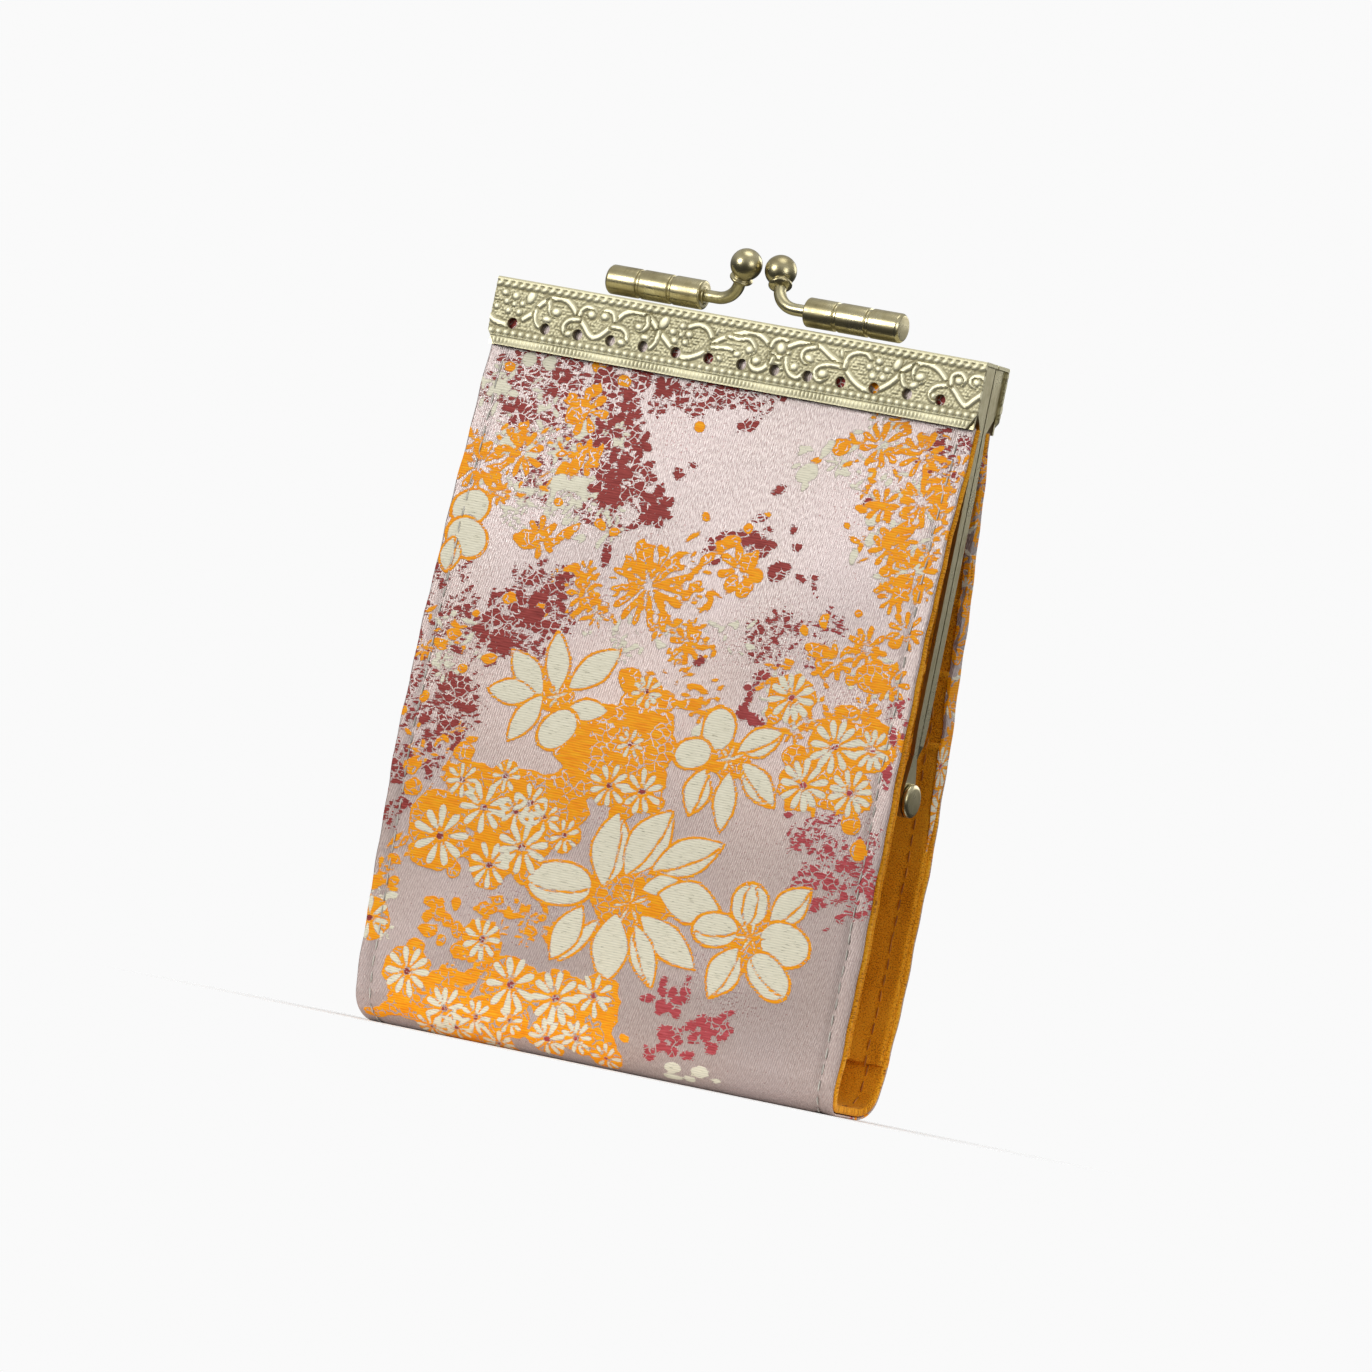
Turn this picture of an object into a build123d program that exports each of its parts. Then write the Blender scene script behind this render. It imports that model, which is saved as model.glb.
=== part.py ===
from build123d import *
import os
from math import sqrt

# Kiss-lock card purse: a strip of brocade, stiffened and lined with velvet, folded into a U and
# hung between the two halves of a riveted brass frame. The sides are open, and each side panel
# carries three card pockets. +Z is up, +X runs along the frame, +Y is the back.
# The origin is at the middle of the bottom fold. Millimetres.

# --- driving dimensions ---------------------------------------------------------------------
frame_width = 92.0
frame_top = 126.5
frame_y = -3.0                     # plane between the two frame halves
half_depth = 4.65                  # one frame half, from that plane to its outer face
plate_thickness = 0.6
bar_thickness = 0.5
inner_leg_thickness = 0.6
rail_height = 11.4
inner_leg_height = 9.5
halves_gap = 0.25                  # half of the gap between the closed halves

sewing_hole_count = 14
sewing_hole_pitch = 6.2
sewing_hole_radius = 0.95
sewing_hole_drop = 7.5
sewing_row_shift = 1.4             # the row's middle stands this far left of the rail's, from outside
cut_through = 2.0                  # depth of the sewing holes' cut, past the plate and the bar's wall
plate_edge_radius = 0.35
plate_corner_chamfer = 1.6

pivot_height = 53.3
arm_thickness = 0.7
arm_x = 44.9                       # inner face of an arm that runs straight
arm_joggle = 0.85                  # how far the back arm steps inwards above its rivet
joggle_top = 62.5
joggle_bottom = 59.5
arm_edge = 0.15                    # the arm's inner edge, from the frame's middle plane
arm_width = 1.9
arm_foot_width = 1.4
arm_head_width = 1.2               # where the arm leaves the rail
arm_head_top = 119.0               # above this the arm closes the rail's end
arm_widest = (66.0, 105.0)
arm_foot = 61.0                    # the arm runs into its tab below this
tab_radius = 2.85
tab_inner_tangent = (0.55, 0.8)    # where the neck's edges meet the tab, in tab radii
tab_outer_tangent = (0.9, 0.45)
shank_radius = 1.1
running_clearance = 0.05
rivet_gap = 0.1                    # between the front arm and the rivet's head
rivet_head_height = 1.1
rivet_rim_radius = 0.6
peened_radius = 1.8
peened_height = 0.7

barrel_radius = 2.5
barrel_length = 18.0
barrel_inner_x = 10.7
barrel_lift = 0.6                  # gap between a barrel and the top of its rail
groove_width = 0.6
groove_depth = 0.35
barrel_chamfer = 0.4
barrel_foot = (12.0, 1.6)          # soldering foot under a barrel
post_radius = 1.05
post_socket = 3.0
ball_radius = 2.7
ball_x = 2.85
ball_cross = 0.8                   # how far each ball sits past the frame's middle plane
ball_lift = 9.2
ball_socket = 1.5
post_bend_radius = 2.6
post_knee_offset = 2.6             # from the ball's middle to the corner of the post's bend
collar_gap = 0.5                   # from the ball's underside to the collar's
collar_rim_radius = 0.3
collar_radius = 2.0
collar_height = 1.3

cloth_width = 91.2
panel_top = 114.6
body_depth = 20.2
front_bow_height = 50.0            # height at which the front panel stands out furthest
back_bow_height = 25.0
lip_depth = 3.45                   # outer face of the cloth where it enters a rail
fold_radius = 5.5
fold_gap = 0.15                    # half of the gap between the two panels at the fold
brocade_thickness = 0.5
stiffener_thickness = 0.8
lining_thickness = 0.6
pocket_thickness = 0.5
pocket_count = 3
pocket_bottom = 9.5
first_pocket_top = 88.0
pocket_step = 12.0
corner_notch_x = 44.5              # the inner layers stop here beside the arms
corner_notch_z = 106.0
clamped_bottom = 115.5
clamped_top = 123.0
clamped_width = 89.2
cord_radius = 1.0
cord_lift = 0.1                    # above the middle of the space left over the clamped edge

# --- derived sizes --------------------------------------------------------------------------
rail_lip = frame_top - rail_height
web_top = frame_top - plate_thickness
web_bottom = web_top - bar_thickness
bar_outer = half_depth - plate_thickness
channel_outer = bar_outer - bar_thickness
channel_inner = halves_gap + inner_leg_thickness
barrel_z = frame_top + barrel_lift + barrel_radius
barrel_y = half_depth / 2
lining_face = brocade_thickness + stiffener_thickness + lining_thickness
FRONT = -1
BACK = 1

os.makedirs("parts", exist_ok=True)


def save(name, part):
    part.label = name
    export_step(part, f"parts/{name}.step")


def depth(side, u):
    """Y of a point that stands u outwards from the frame's middle plane, on one side."""
    return frame_y + side * u


# --- frame halves: an inverted channel with an arm at each end --------------------------------
arm_outline = [
    (arm_edge, arm_foot), (arm_edge, web_top), (bar_outer, web_top), (bar_outer, arm_head_top),
    (arm_head_width, rail_lip), (arm_width, arm_widest[1]), (arm_width, arm_widest[0]),
    (arm_foot_width, arm_foot),
]


def sewing_hole_pins(side):
    """A row of pins, which are cut away where the sewing holes go through plate and bar."""
    with BuildPart() as pins:
        with BuildSketch(Plane.XZ.offset(-depth(side, half_depth))):
            with Locations((side * sewing_row_shift, frame_top - sewing_hole_drop)):
                with GridLocations(sewing_hole_pitch, 1, sewing_hole_count, 1):
                    Circle(sewing_hole_radius)
        extrude(amount=side * cut_through)
    return pins.part


def frame_arm(side, joggle):
    """The right arm: a flat strip that ends in a round tab on the rivet. It steps inwards by
    joggle above the tab, so that the tabs of the two halves lie side by side."""
    outer_x = arm_x + arm_thickness

    def neck_point(out, up):
        return (depth(side, tab_radius * out), pivot_height + tab_radius * up)

    with BuildPart() as arm:
        with BuildSketch(Plane.YZ.offset(arm_x - joggle)):
            with BuildLine():
                Polyline(*[(depth(side, u), z) for u, z in arm_outline], close=True)
            make_face()
            with BuildLine():
                Polyline(
                    neck_point(-tab_inner_tangent[0], tab_inner_tangent[1]),
                    (depth(side, arm_edge), arm_foot),
                    (depth(side, arm_foot_width), arm_foot),
                    neck_point(tab_outer_tangent[0], tab_outer_tangent[1]),
                    close=True,
                )
            make_face()
            with Locations((frame_y, pivot_height)):
                Circle(tab_radius)
        extrude(amount=arm_thickness + joggle)
        if joggle:
            with BuildSketch(Plane.XZ):
                with BuildLine():
                    Polyline(
                        (arm_x, frame_top), (outer_x, frame_top), (outer_x, joggle_top),
                        (outer_x - joggle, joggle_bottom), (outer_x - joggle, 0),
                        (arm_x - joggle, 0), (arm_x - joggle, joggle_bottom),
                        (arm_x, joggle_top),
                        close=True,
                    )
                make_face()
            extrude(amount=body_depth, both=True, mode=Mode.INTERSECT)
    return arm.part


def frame_bar(side, joggle, rivet_hole):
    arm = frame_arm(side, joggle)
    half_length = arm_x + arm_thickness
    with BuildPart() as bar:
        with BuildSketch(Plane.YZ):
            with BuildLine():
                Polyline(
                    (depth(side, halves_gap), frame_top - inner_leg_height),
                    (depth(side, halves_gap), web_top),
                    (depth(side, bar_outer), web_top),
                    (depth(side, bar_outer), rail_lip),
                    (depth(side, channel_outer), rail_lip),
                    (depth(side, channel_outer), web_bottom),
                    (depth(side, channel_inner), web_bottom),
                    (depth(side, channel_inner), frame_top - inner_leg_height),
                    close=True,
                )
            make_face()
        extrude(amount=half_length, both=True)
        add(arm)
        mirror(arm, about=Plane.YZ)
        add(sewing_hole_pins(side), mode=Mode.SUBTRACT)
        with BuildSketch(Plane.YZ):
            with Locations((frame_y, pivot_height)):
                Circle(rivet_hole)
        extrude(amount=frame_width, both=True, mode=Mode.SUBTRACT)
    return bar.part


save("front_frame_bar", frame_bar(FRONT, 0.0, shank_radius + running_clearance))
save("back_frame_bar", frame_bar(BACK, arm_joggle, shank_radius))


# --- rail plates: embossed cladding folded over the top of each bar ---------------------------
def rail_plate(side):
    with BuildPart() as plate:
        with BuildSketch(Plane.YZ):
            with BuildLine():
                Polyline(
                    (depth(side, halves_gap), web_top),
                    (depth(side, halves_gap), frame_top),
                    (depth(side, half_depth), frame_top),
                    (depth(side, half_depth), rail_lip),
                    (depth(side, bar_outer), rail_lip),
                    (depth(side, bar_outer), web_top),
                    close=True,
                )
            make_face()
        extrude(amount=frame_width / 2, both=True)
        top_edges = plate.edges().filter_by(Axis.X).group_by(Axis.Z)[-1]
        fillet(top_edges.sort_by(Axis.Y)[0 if side == FRONT else -1], radius=plate_edge_radius)
        corners = plate.edges().filter_by(Axis.Y).group_by(Axis.Z)[0]
        chamfer(corners, length=plate_corner_chamfer)
        add(sewing_hole_pins(side), mode=Mode.SUBTRACT)
    return plate.part


save("front_rail_plate", rail_plate(FRONT))
save("back_rail_plate", rail_plate(BACK))


# --- rivets: each joins the front arm, the back arm and its own peened end --------------------
def rivet(hand):
    head_x = arm_x + arm_thickness + rivet_gap
    peened_x = arm_x - arm_joggle - peened_height
    with BuildPart() as pin:
        with BuildSketch(Plane.YZ.offset(peened_x)):
            with Locations((frame_y, pivot_height)):
                Circle(peened_radius)
        extrude(amount=peened_height)
        with BuildSketch(Plane.YZ.offset(peened_x)):
            with Locations((frame_y, pivot_height)):
                Circle(shank_radius)
        extrude(amount=head_x - peened_x)
        with BuildSketch(Plane.YZ.offset(head_x)):
            with Locations((frame_y, pivot_height)):
                Circle(tab_radius)
        extrude(amount=rivet_head_height)
        rim = pin.edges().filter_by(GeomType.CIRCLE).sort_by(Axis.X)[-1]
        fillet(rim, radius=rivet_rim_radius)
        if hand < 0:
            mirror(about=Plane.YZ, mode=Mode.REPLACE)
    return pin.part


save("right_rivet", rivet(1))
save("left_rivet", rivet(-1))


# --- kiss-lock clasp: each half has a barrel, a bent post, a collar and a ball ----------------
def turned(part, side):
    """The clasp is drawn on the front half. The back one is the same, turned half round."""
    return part if side == FRONT else part.rotate(Axis((0, frame_y, 0), (0, 0, 1)), 180)


barrel_start = (barrel_inner_x + post_socket, depth(FRONT, barrel_y), barrel_z)
post_knee = (ball_x + post_knee_offset, depth(FRONT, barrel_y), barrel_z)
ball_centre = (ball_x, depth(BACK, ball_cross), frame_top + ball_lift)
post_rise = (Vector(*ball_centre) - Vector(*post_knee)).normalized()
post_tip = Vector(*ball_centre) - post_rise * (ball_radius - ball_socket)
collar_base = Vector(*ball_centre) - post_rise * (ball_radius + collar_gap)

for side, half in ((FRONT, "front"), (BACK, "back")):
    with BuildPart() as barrel:
        with BuildSketch(Plane.YZ.offset(barrel_inner_x)):
            with Locations(barrel_start[1:]):
                Circle(barrel_radius)
        extrude(amount=barrel_length)
        chamfer(barrel.edges().filter_by(GeomType.CIRCLE), length=barrel_chamfer)
        for third in (1, 2):
            groove_x = barrel_inner_x + third * barrel_length / 3 - groove_width / 2
            with BuildSketch(Plane.YZ.offset(groove_x)):
                with Locations(barrel_start[1:]):
                    Circle(barrel_radius + 1)
                    Circle(barrel_radius - groove_depth, mode=Mode.SUBTRACT)
            extrude(amount=groove_width, mode=Mode.SUBTRACT)
        with Locations((barrel_inner_x + barrel_length / 2, barrel_start[1], frame_top)):
            Box(*barrel_foot, barrel_radius, align=(Align.CENTER, Align.CENTER, Align.MIN))
        with BuildSketch(Plane.YZ.offset(barrel_inner_x)):
            with Locations(barrel_start[1:]):
                Circle(post_radius)
        extrude(amount=post_socket, mode=Mode.SUBTRACT)
    save(f"{half}_clasp_barrel", turned(barrel.part, side))

    with BuildPart() as post:
        with BuildLine() as post_path:
            FilletPolyline(barrel_start, post_knee, post_tip, radius=post_bend_radius)
        with BuildSketch(Plane(barrel_start, z_dir=(-1, 0, 0))):
            Circle(post_radius)
        sweep()
    save(f"{half}_clasp_post", turned(post.part, side))

    with BuildPart() as ball:
        with Locations(ball_centre):
            Sphere(ball_radius)
        with BuildSketch(Plane(post_tip, z_dir=-post_rise)):
            Circle(post_radius)
        extrude(amount=ball_radius, mode=Mode.SUBTRACT)
    save(f"{half}_clasp_ball", turned(ball.part, side))

    with BuildPart() as collar:
        with BuildSketch(Plane(collar_base, z_dir=post_rise)):
            Circle(collar_radius)
            Circle(post_radius, mode=Mode.SUBTRACT)
        extrude(amount=collar_height)
        fillet(collar.edges().filter_by(GeomType.CIRCLE).group_by(SortBy.RADIUS)[-1],
               radius=collar_rim_radius)
        with Locations(ball_centre):
            Sphere(ball_radius, mode=Mode.SUBTRACT)
    save(f"{half}_clasp_collar", turned(collar.part, side))


# --- side panels: layers of cloth that follow one bowed profile -------------------------------
class Profile:
    """Side view of one panel: a shallow bow from the rail down to the fold's round corner. The
    corner is tangent to the bow and to the flat bottom. Layers lie at a depth under the outer
    face, so their curves share the same centres. u is the distance outwards from Y = 0."""

    def __init__(self, side, bow_height):
        self.side = side
        self.bow_z = bow_height
        rise = rail_lip - bow_height
        drop = body_depth / 2 - (side * frame_y + lip_depth)
        self.bow_radius = rise * rise / (2 * drop) + drop / 2
        self.bow_u = body_depth / 2 - self.bow_radius
        reach = self.bow_radius - fold_radius
        self.corner_u = self.bow_u + sqrt(reach**2 - (bow_height - fold_radius) ** 2)
        self.tangent = (
            (self.corner_u - self.bow_u) / reach,
            (fold_radius - bow_height) / reach,
        )

    def face(self, layer, z):
        """The point of the bow at height z, on the face that lies layer deep."""
        u = self.bow_u + sqrt((self.bow_radius - layer) ** 2 - (z - self.bow_z) ** 2)
        return (self.side * u, z)

    def meeting(self, layer):
        """Where the bow meets the fold's corner."""
        r = self.bow_radius - layer
        return (self.side * (self.bow_u + r * self.tangent[0]), self.bow_z + r * self.tangent[1])

    def corner_middle(self, layer):
        r = fold_radius - layer
        middle = (Vector(*self.tangent) + Vector(0, -1)).normalized()
        return (self.side * (self.corner_u + r * middle.X), fold_radius + r * middle.Y)

    def corner_end(self, layer):
        return (self.side * self.corner_u, layer)

    def fold_end(self, layer):
        return (self.side * fold_gap, layer)


profiles = {FRONT: Profile(FRONT, front_bow_height), BACK: Profile(BACK, back_bow_height)}


def bow_arc(profile, layer, low, high):
    middle = profile.face(layer, (low[1] + high[1]) / 2)
    return ThreePointArc(low, middle, high)


def folded_layer(side, outer, inner, notched):
    """One layer from the rail down to the middle of the bottom fold, as wide as the cloth."""
    p = profiles[side]
    with BuildPart() as layer:
        with BuildSketch(Plane.YZ):
            with BuildLine():
                for level in (outer, inner):
                    bow_arc(p, level, p.meeting(level), p.face(level, panel_top))
                    ThreePointArc(p.meeting(level), p.corner_middle(level), p.corner_end(level))
                    Line(p.corner_end(level), p.fold_end(level))
                Line(p.face(outer, panel_top), p.face(inner, panel_top))
                Line(p.fold_end(outer), p.fold_end(inner))
            make_face()
        extrude(amount=cloth_width / 2, both=True)
        if notched:
            notch_width = cloth_width / 2 - corner_notch_x
            for hand in (-1, 1):
                with Locations((hand * (corner_notch_x + notch_width / 2), 0, corner_notch_z)):
                    Box(
                        notch_width, 4 * body_depth, frame_top,
                        align=(Align.CENTER, Align.CENTER, Align.MIN), mode=Mode.SUBTRACT,
                    )
    return layer.part


def card_pocket(side, index):
    """A flat sheet over the lining. The later pockets are shorter and lie over the earlier."""
    p = profiles[side]
    outer = lining_face + index * pocket_thickness
    inner = outer + pocket_thickness
    top = first_pocket_top - index * pocket_step
    with BuildPart() as pocket:
        with BuildSketch(Plane.YZ):
            with BuildLine():
                for level in (outer, inner):
                    bow_arc(p, level, p.face(level, pocket_bottom), p.face(level, top))
                Line(p.face(outer, pocket_bottom), p.face(inner, pocket_bottom))
                Line(p.face(outer, top), p.face(inner, top))
            make_face()
        extrude(amount=cloth_width / 2, both=True)
    return pocket.part


def clamped_edge(side):
    """The top edge of the cloth, glued and clamped inside the rail's channel."""
    with BuildPart() as edge:
        with BuildSketch(Plane.YZ):
            middle_u = lip_depth - lining_face / 2
            with Locations((depth(side, middle_u), (clamped_bottom + clamped_top) / 2)):
                Rectangle(lining_face, clamped_top - clamped_bottom)
        extrude(amount=clamped_width / 2, both=True)
    return edge.part


def packing_cord(side):
    """Paper cord pushed into the top of the channel to wedge the cloth."""
    middle_u = (channel_inner + channel_outer) / 2
    with BuildPart() as cord:
        with BuildSketch(Plane.YZ):
            with Locations((depth(side, middle_u), (clamped_top + web_bottom) / 2 + cord_lift)):
                Circle(cord_radius)
        extrude(amount=clamped_width / 2, both=True)
    return cord.part


stiffener_face = brocade_thickness + stiffener_thickness
for side, half in ((FRONT, "front"), (BACK, "back")):
    save(f"{half}_brocade", folded_layer(side, 0.0, brocade_thickness, notched=False))
    save(f"{half}_stiffener", folded_layer(side, brocade_thickness, stiffener_face, notched=True))
    save(f"{half}_lining", folded_layer(side, stiffener_face, lining_face, notched=True))
    for index in range(pocket_count):
        save(f"{half}_card_pocket_{index + 1}", card_pocket(side, index))
    save(f"{half}_clamped_edge", clamped_edge(side))
    save(f"{half}_packing_cord", packing_cord(side))
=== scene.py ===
import math

import bmesh
import bpy
import numpy as np
from mathutils import Matrix, Vector


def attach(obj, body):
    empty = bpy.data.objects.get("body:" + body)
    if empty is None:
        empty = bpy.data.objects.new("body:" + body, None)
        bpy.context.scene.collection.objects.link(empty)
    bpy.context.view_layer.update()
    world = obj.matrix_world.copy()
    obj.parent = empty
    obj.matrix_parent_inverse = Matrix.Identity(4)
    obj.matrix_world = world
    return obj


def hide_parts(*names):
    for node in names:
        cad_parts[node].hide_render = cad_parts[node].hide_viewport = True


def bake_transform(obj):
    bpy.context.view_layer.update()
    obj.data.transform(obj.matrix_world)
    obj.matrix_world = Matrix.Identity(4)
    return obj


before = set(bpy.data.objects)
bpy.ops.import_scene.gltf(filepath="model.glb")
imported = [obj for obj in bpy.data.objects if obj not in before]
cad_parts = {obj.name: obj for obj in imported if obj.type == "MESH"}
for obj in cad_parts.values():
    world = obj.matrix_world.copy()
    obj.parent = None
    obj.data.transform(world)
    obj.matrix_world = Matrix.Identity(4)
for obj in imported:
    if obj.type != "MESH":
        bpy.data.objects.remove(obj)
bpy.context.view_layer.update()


# ---- Frame bars ---------------------------------------------------------------------------
# The two halves of the kiss-lock frame: inverted channels with an arm at each end, pressed
# from thin brass sheet, plated a dull olive bronze and rubbed back so that the edges shine.

mm = 0.001


def new_finish(name):
    material = bpy.data.materials.new(name)
    material.use_nodes = True
    return material, material.node_tree, material.node_tree.nodes["Principled BSDF"]


def feed(tree, node, inputs):
    """Sets each of a node's inputs to a value, or links it to another node's output."""
    for name, value in inputs.items():
        if isinstance(value, bpy.types.NodeSocket):
            tree.links.new(value, node.inputs[name])
        else:
            node.inputs[name].default_value = value


def add(tree, kind, inputs=None, **settings):
    """Adds one node, with its settings and its inputs."""
    node = tree.nodes.new(kind)
    for name, value in settings.items():
        setattr(node, name, value)
    feed(tree, node, inputs or {})
    return node


def put(name, data):
    """Puts a mesh, curve, camera or light into the scene."""
    made = bpy.data.objects.new(name, data)
    bpy.context.scene.collection.objects.link(made)
    return made


def on_object(tree):
    return add(tree, "ShaderNodeTexCoord").outputs["Object"]


def mark_of(tree, name, output="Fac"):
    """A value kept in the mesh for the finish."""
    return add(tree, "ShaderNodeAttribute", attribute_name=name).outputs[output]


def tones(tree, amount, stops):
    """A colour ramp from a list of (place, colour)."""
    node = add(tree, "ShaderNodeValToRGB", {"Fac": amount})
    ramp = node.color_ramp
    while len(ramp.elements) < len(stops):
        ramp.elements.new(0.5)
    for element, (place, colour) in zip(ramp.elements, stops):
        element.position = place
        element.color = (*colour, 1.0)
    return node.outputs["Color"]


def between(tree, value, low, high, to_low=0.0, to_high=1.0, soft=True):
    """Maps a value's range onto another, clamped."""
    return add(tree, "ShaderNodeMapRange", {
        "Value": value, "From Min": low, "From Max": high, "To Min": to_low, "To Max": to_high,
    }, interpolation_type="SMOOTHSTEP" if soft else "LINEAR").outputs["Result"]


def sums(tree, operation, first, second=0.0, third=0.0):
    return add(tree, "ShaderNodeMath", {0: first, 1: second, 2: third},
               operation=operation).outputs["Value"]


def mixed(tree, amount, first, second, blend="MIX"):
    """Mixes two colours, each an output or (red, green, blue). Inputs 6 and 7 are the colours."""
    first, second = (colour if isinstance(colour, bpy.types.NodeSocket) else (*colour, 1.0)
                     for colour in (first, second))
    return add(tree, "ShaderNodeMix", {0: amount, 6: first, 7: second},
               data_type="RGBA", blend_type=blend).outputs[2]


def scaled(tree, vector, size, turn=(0, 0, 0)):
    return add(tree, "ShaderNodeMapping", {
        "Vector": vector, "Scale": size, "Rotation": turn}).outputs["Vector"]


def cloudy(tree, vector, detail=3.0, rough=0.5, scale=1.0):
    return add(tree, "ShaderNodeTexNoise", {
        "Vector": vector, "Scale": scale, "Detail": detail, "Roughness": rough}).outputs["Fac"]


def bumpy(tree, height, strength, distance):
    return add(tree, "ShaderNodeBump", {
        "Height": height, "Strength": strength, "Distance": distance}).outputs["Normal"]


sheet_brass, tree, shader = new_finish("antique_brass_sheet")
place = on_object(tree)
patina = cloudy(tree, scaled(tree, place, (180, 180, 180)), 6, 0.62)
rubbed = cloudy(tree, scaled(tree, place, (900, 900, 90)), 4, 0.6)
worn = sums(tree, "MULTIPLY_ADD", rubbed, 0.35, sums(tree, "MULTIPLY", patina, 0.75))
colour = tones(tree, worn, [(0.32, (0.20, 0.17, 0.085)), (0.5, (0.44, 0.395, 0.235)),
                            (0.72, (0.62, 0.575, 0.38))])
scratches = cloudy(tree, scaled(tree, place, (5200, 5200, 260)), 3, 0.7)
feed(tree, shader, {
    "Base Color": colour, "Roughness": between(tree, worn, 0.3, 0.75, 0.46, 0.24),
    "Metallic": 1.0, "Normal": bumpy(tree, scratches, 0.16, 0.00006)})

for half in ("front", "back"):
    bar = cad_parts[f"{half}_frame_bar"]
    bar.data.materials.clear()
    bar.data.materials.append(sheet_brass)


# ---- Rail plates --------------------------------------------------------------------------
# Soft brass strips folded over the top of each bar and soldered on, stamped with a scroll of
# vines and berries on a pebbled ground, between a roped edge, a row of beads and a fluted band.

plate_half_length = 46.0
plate_top = 126.5
plate_lip = 115.1
frame_middle = -3.0
plate_gap = 0.25
plate_depth = 4.65
plate_sheet = 0.6
plate_fold_radius = 0.5
plate_corner, corner_slant, corner_from = 1.5, 1.6, 43.0
ground_relief = 0.16                             # what stands at the plate's drawn face
sewing_holes = [(-1.4 + 6.2 * (i - 6.5), 119.0) for i in range(14)]
hole_radius = 0.95
stamp_step = 0.18

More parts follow.
